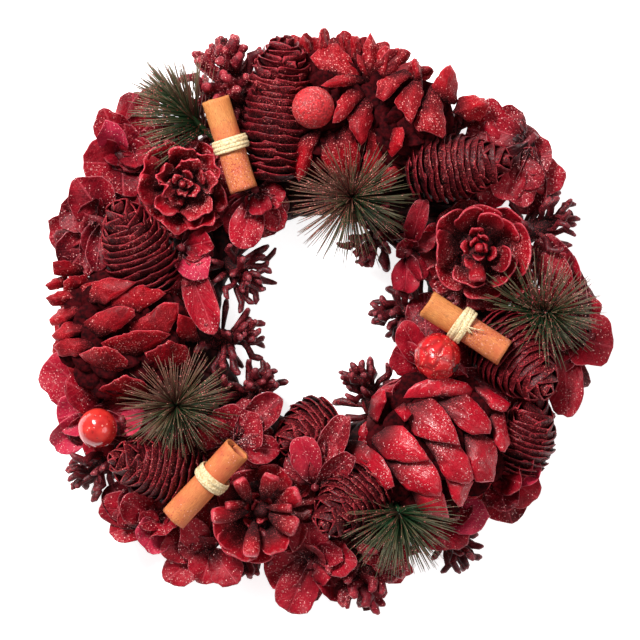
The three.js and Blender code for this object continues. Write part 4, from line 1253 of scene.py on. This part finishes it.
needle_green = Finish("pine_needle")
x, y, tone = needle_green.attribute("blade")
base = needle_green.mix(tone.step(0.25, 0.75), colour(18, 62, 30), colour(88, 40, 34))
# Paler towards the tips: partly brown tips, partly a painted sheen along the needles.
base = needle_green.mix(y.step(-0.5, 1.0) * 0.38, base, colour(150, 116, 88))
speck, gleam = glitter(needle_green, 0.0011, 0.4)
dot = needle_green.mix(gleam, colour(150, 24, 30), colour(255, 170, 156))
base = needle_green.mix(speck, base, dot)
needle_green.set(Base_Color=base, Roughness=0.5)
for name, (nose, reach, start, green_side, brown, lean_to) in PICKS.items():
    pick = bmesh.new()
    start = Vector(start) if start else hold_of(nose)
    axis, length, side, over = ahead_of(start, nose)
    stem(pick, start, nose, 1.5)
    keep = pick.verts.layers.float_vector["blade"]
    for i in range(NEEDLES):
        share = i / (NEEDLES - 1)
        radial = spoke(i * GOLDEN_ANGLE + dice.uniform(-0.2, 0.2), side, over)
        lean = math.radians(100 - 84 * share ** 1.4 + dice.uniform(-8, 8))
        along = spoke(lean, axis, radial)
        if along.xy.dot(Vector(lean_to)) < -0.15:
            continue
        along = (along + Vector((*lean_to, 0))).normalized()
        span = reach * (1 - 0.2 * share) * dice.uniform(0.8, 1.06)
        root = start + axis * length * (0.6 + 0.4 * share)
        droop = Vector((dice.uniform(-1, 1), dice.uniform(-1, 1), -0.6)) * 1.8
        path = [root + along * (span * j / 4) + droop * (j / 4) ** 2 for j in range(5)]
        made = tube(pick, path, NEEDLE_RADII, sides=4)
        shade = brown - 0.35 * along.xy.dot(Vector(green_side).normalized())
        shade = min(1.0, max(0.0, shade + dice.uniform(-0.25, 0.25)))
        for v in made:
            v[keep] = (0.0, 2 * (v.co - root).length / span - 1, shade)
    piece(pick, "pine_needles_" + name, needle_green, "needle", "pine_pick_" + name, lowest=1.0)

# Camera and studio light. The camera looks straight down at the wreath from high above it; a key
# light stands at the upper left and a weak one at the right, over white paper.

floor_mesh = bmesh.new()
bmesh.ops.create_grid(floor_mesh, x_segments=1, y_segments=1, size=3.0)
floor = put(settle(floor_mesh, "studio_floor"), "studio_floor", (0, 0, -0.0002))
paper = Finish("white_paper")
paper.set(Base_Color=(0.9, 0.9, 0.9, 1.0), Roughness=0.8, Emission_Color=(1.0, 1.0, 1.0, 1.0),
          Emission_Strength=0.8)
floor.data.materials.append(paper.material)

CAMERA_HEIGHT = 2.0
# How wide a view the camera takes in, and at what height above the table.
VIEW_WIDTH = 0.352
VIEW_HEIGHT = 0.045
camera = bpy.data.cameras.new("studio_camera")
camera.lens = camera.sensor_width * (CAMERA_HEIGHT - VIEW_HEIGHT) / VIEW_WIDTH
camera.clip_end = 10.0
bpy.context.scene.camera = put(camera, "studio_camera", (-0.0033, 0.0, CAMERA_HEIGHT))

world = bpy.data.worlds.new("soft_studio")
bpy.context.scene.world = world
world.use_nodes = True
sky = world.node_tree.nodes["Background"].inputs
sky["Color"].default_value = (1.0, 1.0, 1.0, 1.0)
sky["Strength"].default_value = 0.24


def soft_light(name, place, size, power):
    """A round lamp that is turned towards the middle of the wreath."""
    data = bpy.data.lights.new(name, "AREA")
    data.shape = "DISK"
    data.size = size
    data.energy = power
    way = UP * 0.03 - Vector(place)
    put(data, name, place).rotation_euler = way.to_track_quat("-Z", "Y").to_euler()


soft_light("key", (-0.6, 0.8, 1.15), 0.5, 33.5)
soft_light("fill", (0.9, -0.3, 1.2), 0.9, 5.0)
bpy.context.scene.view_settings.view_transform = "Standard"
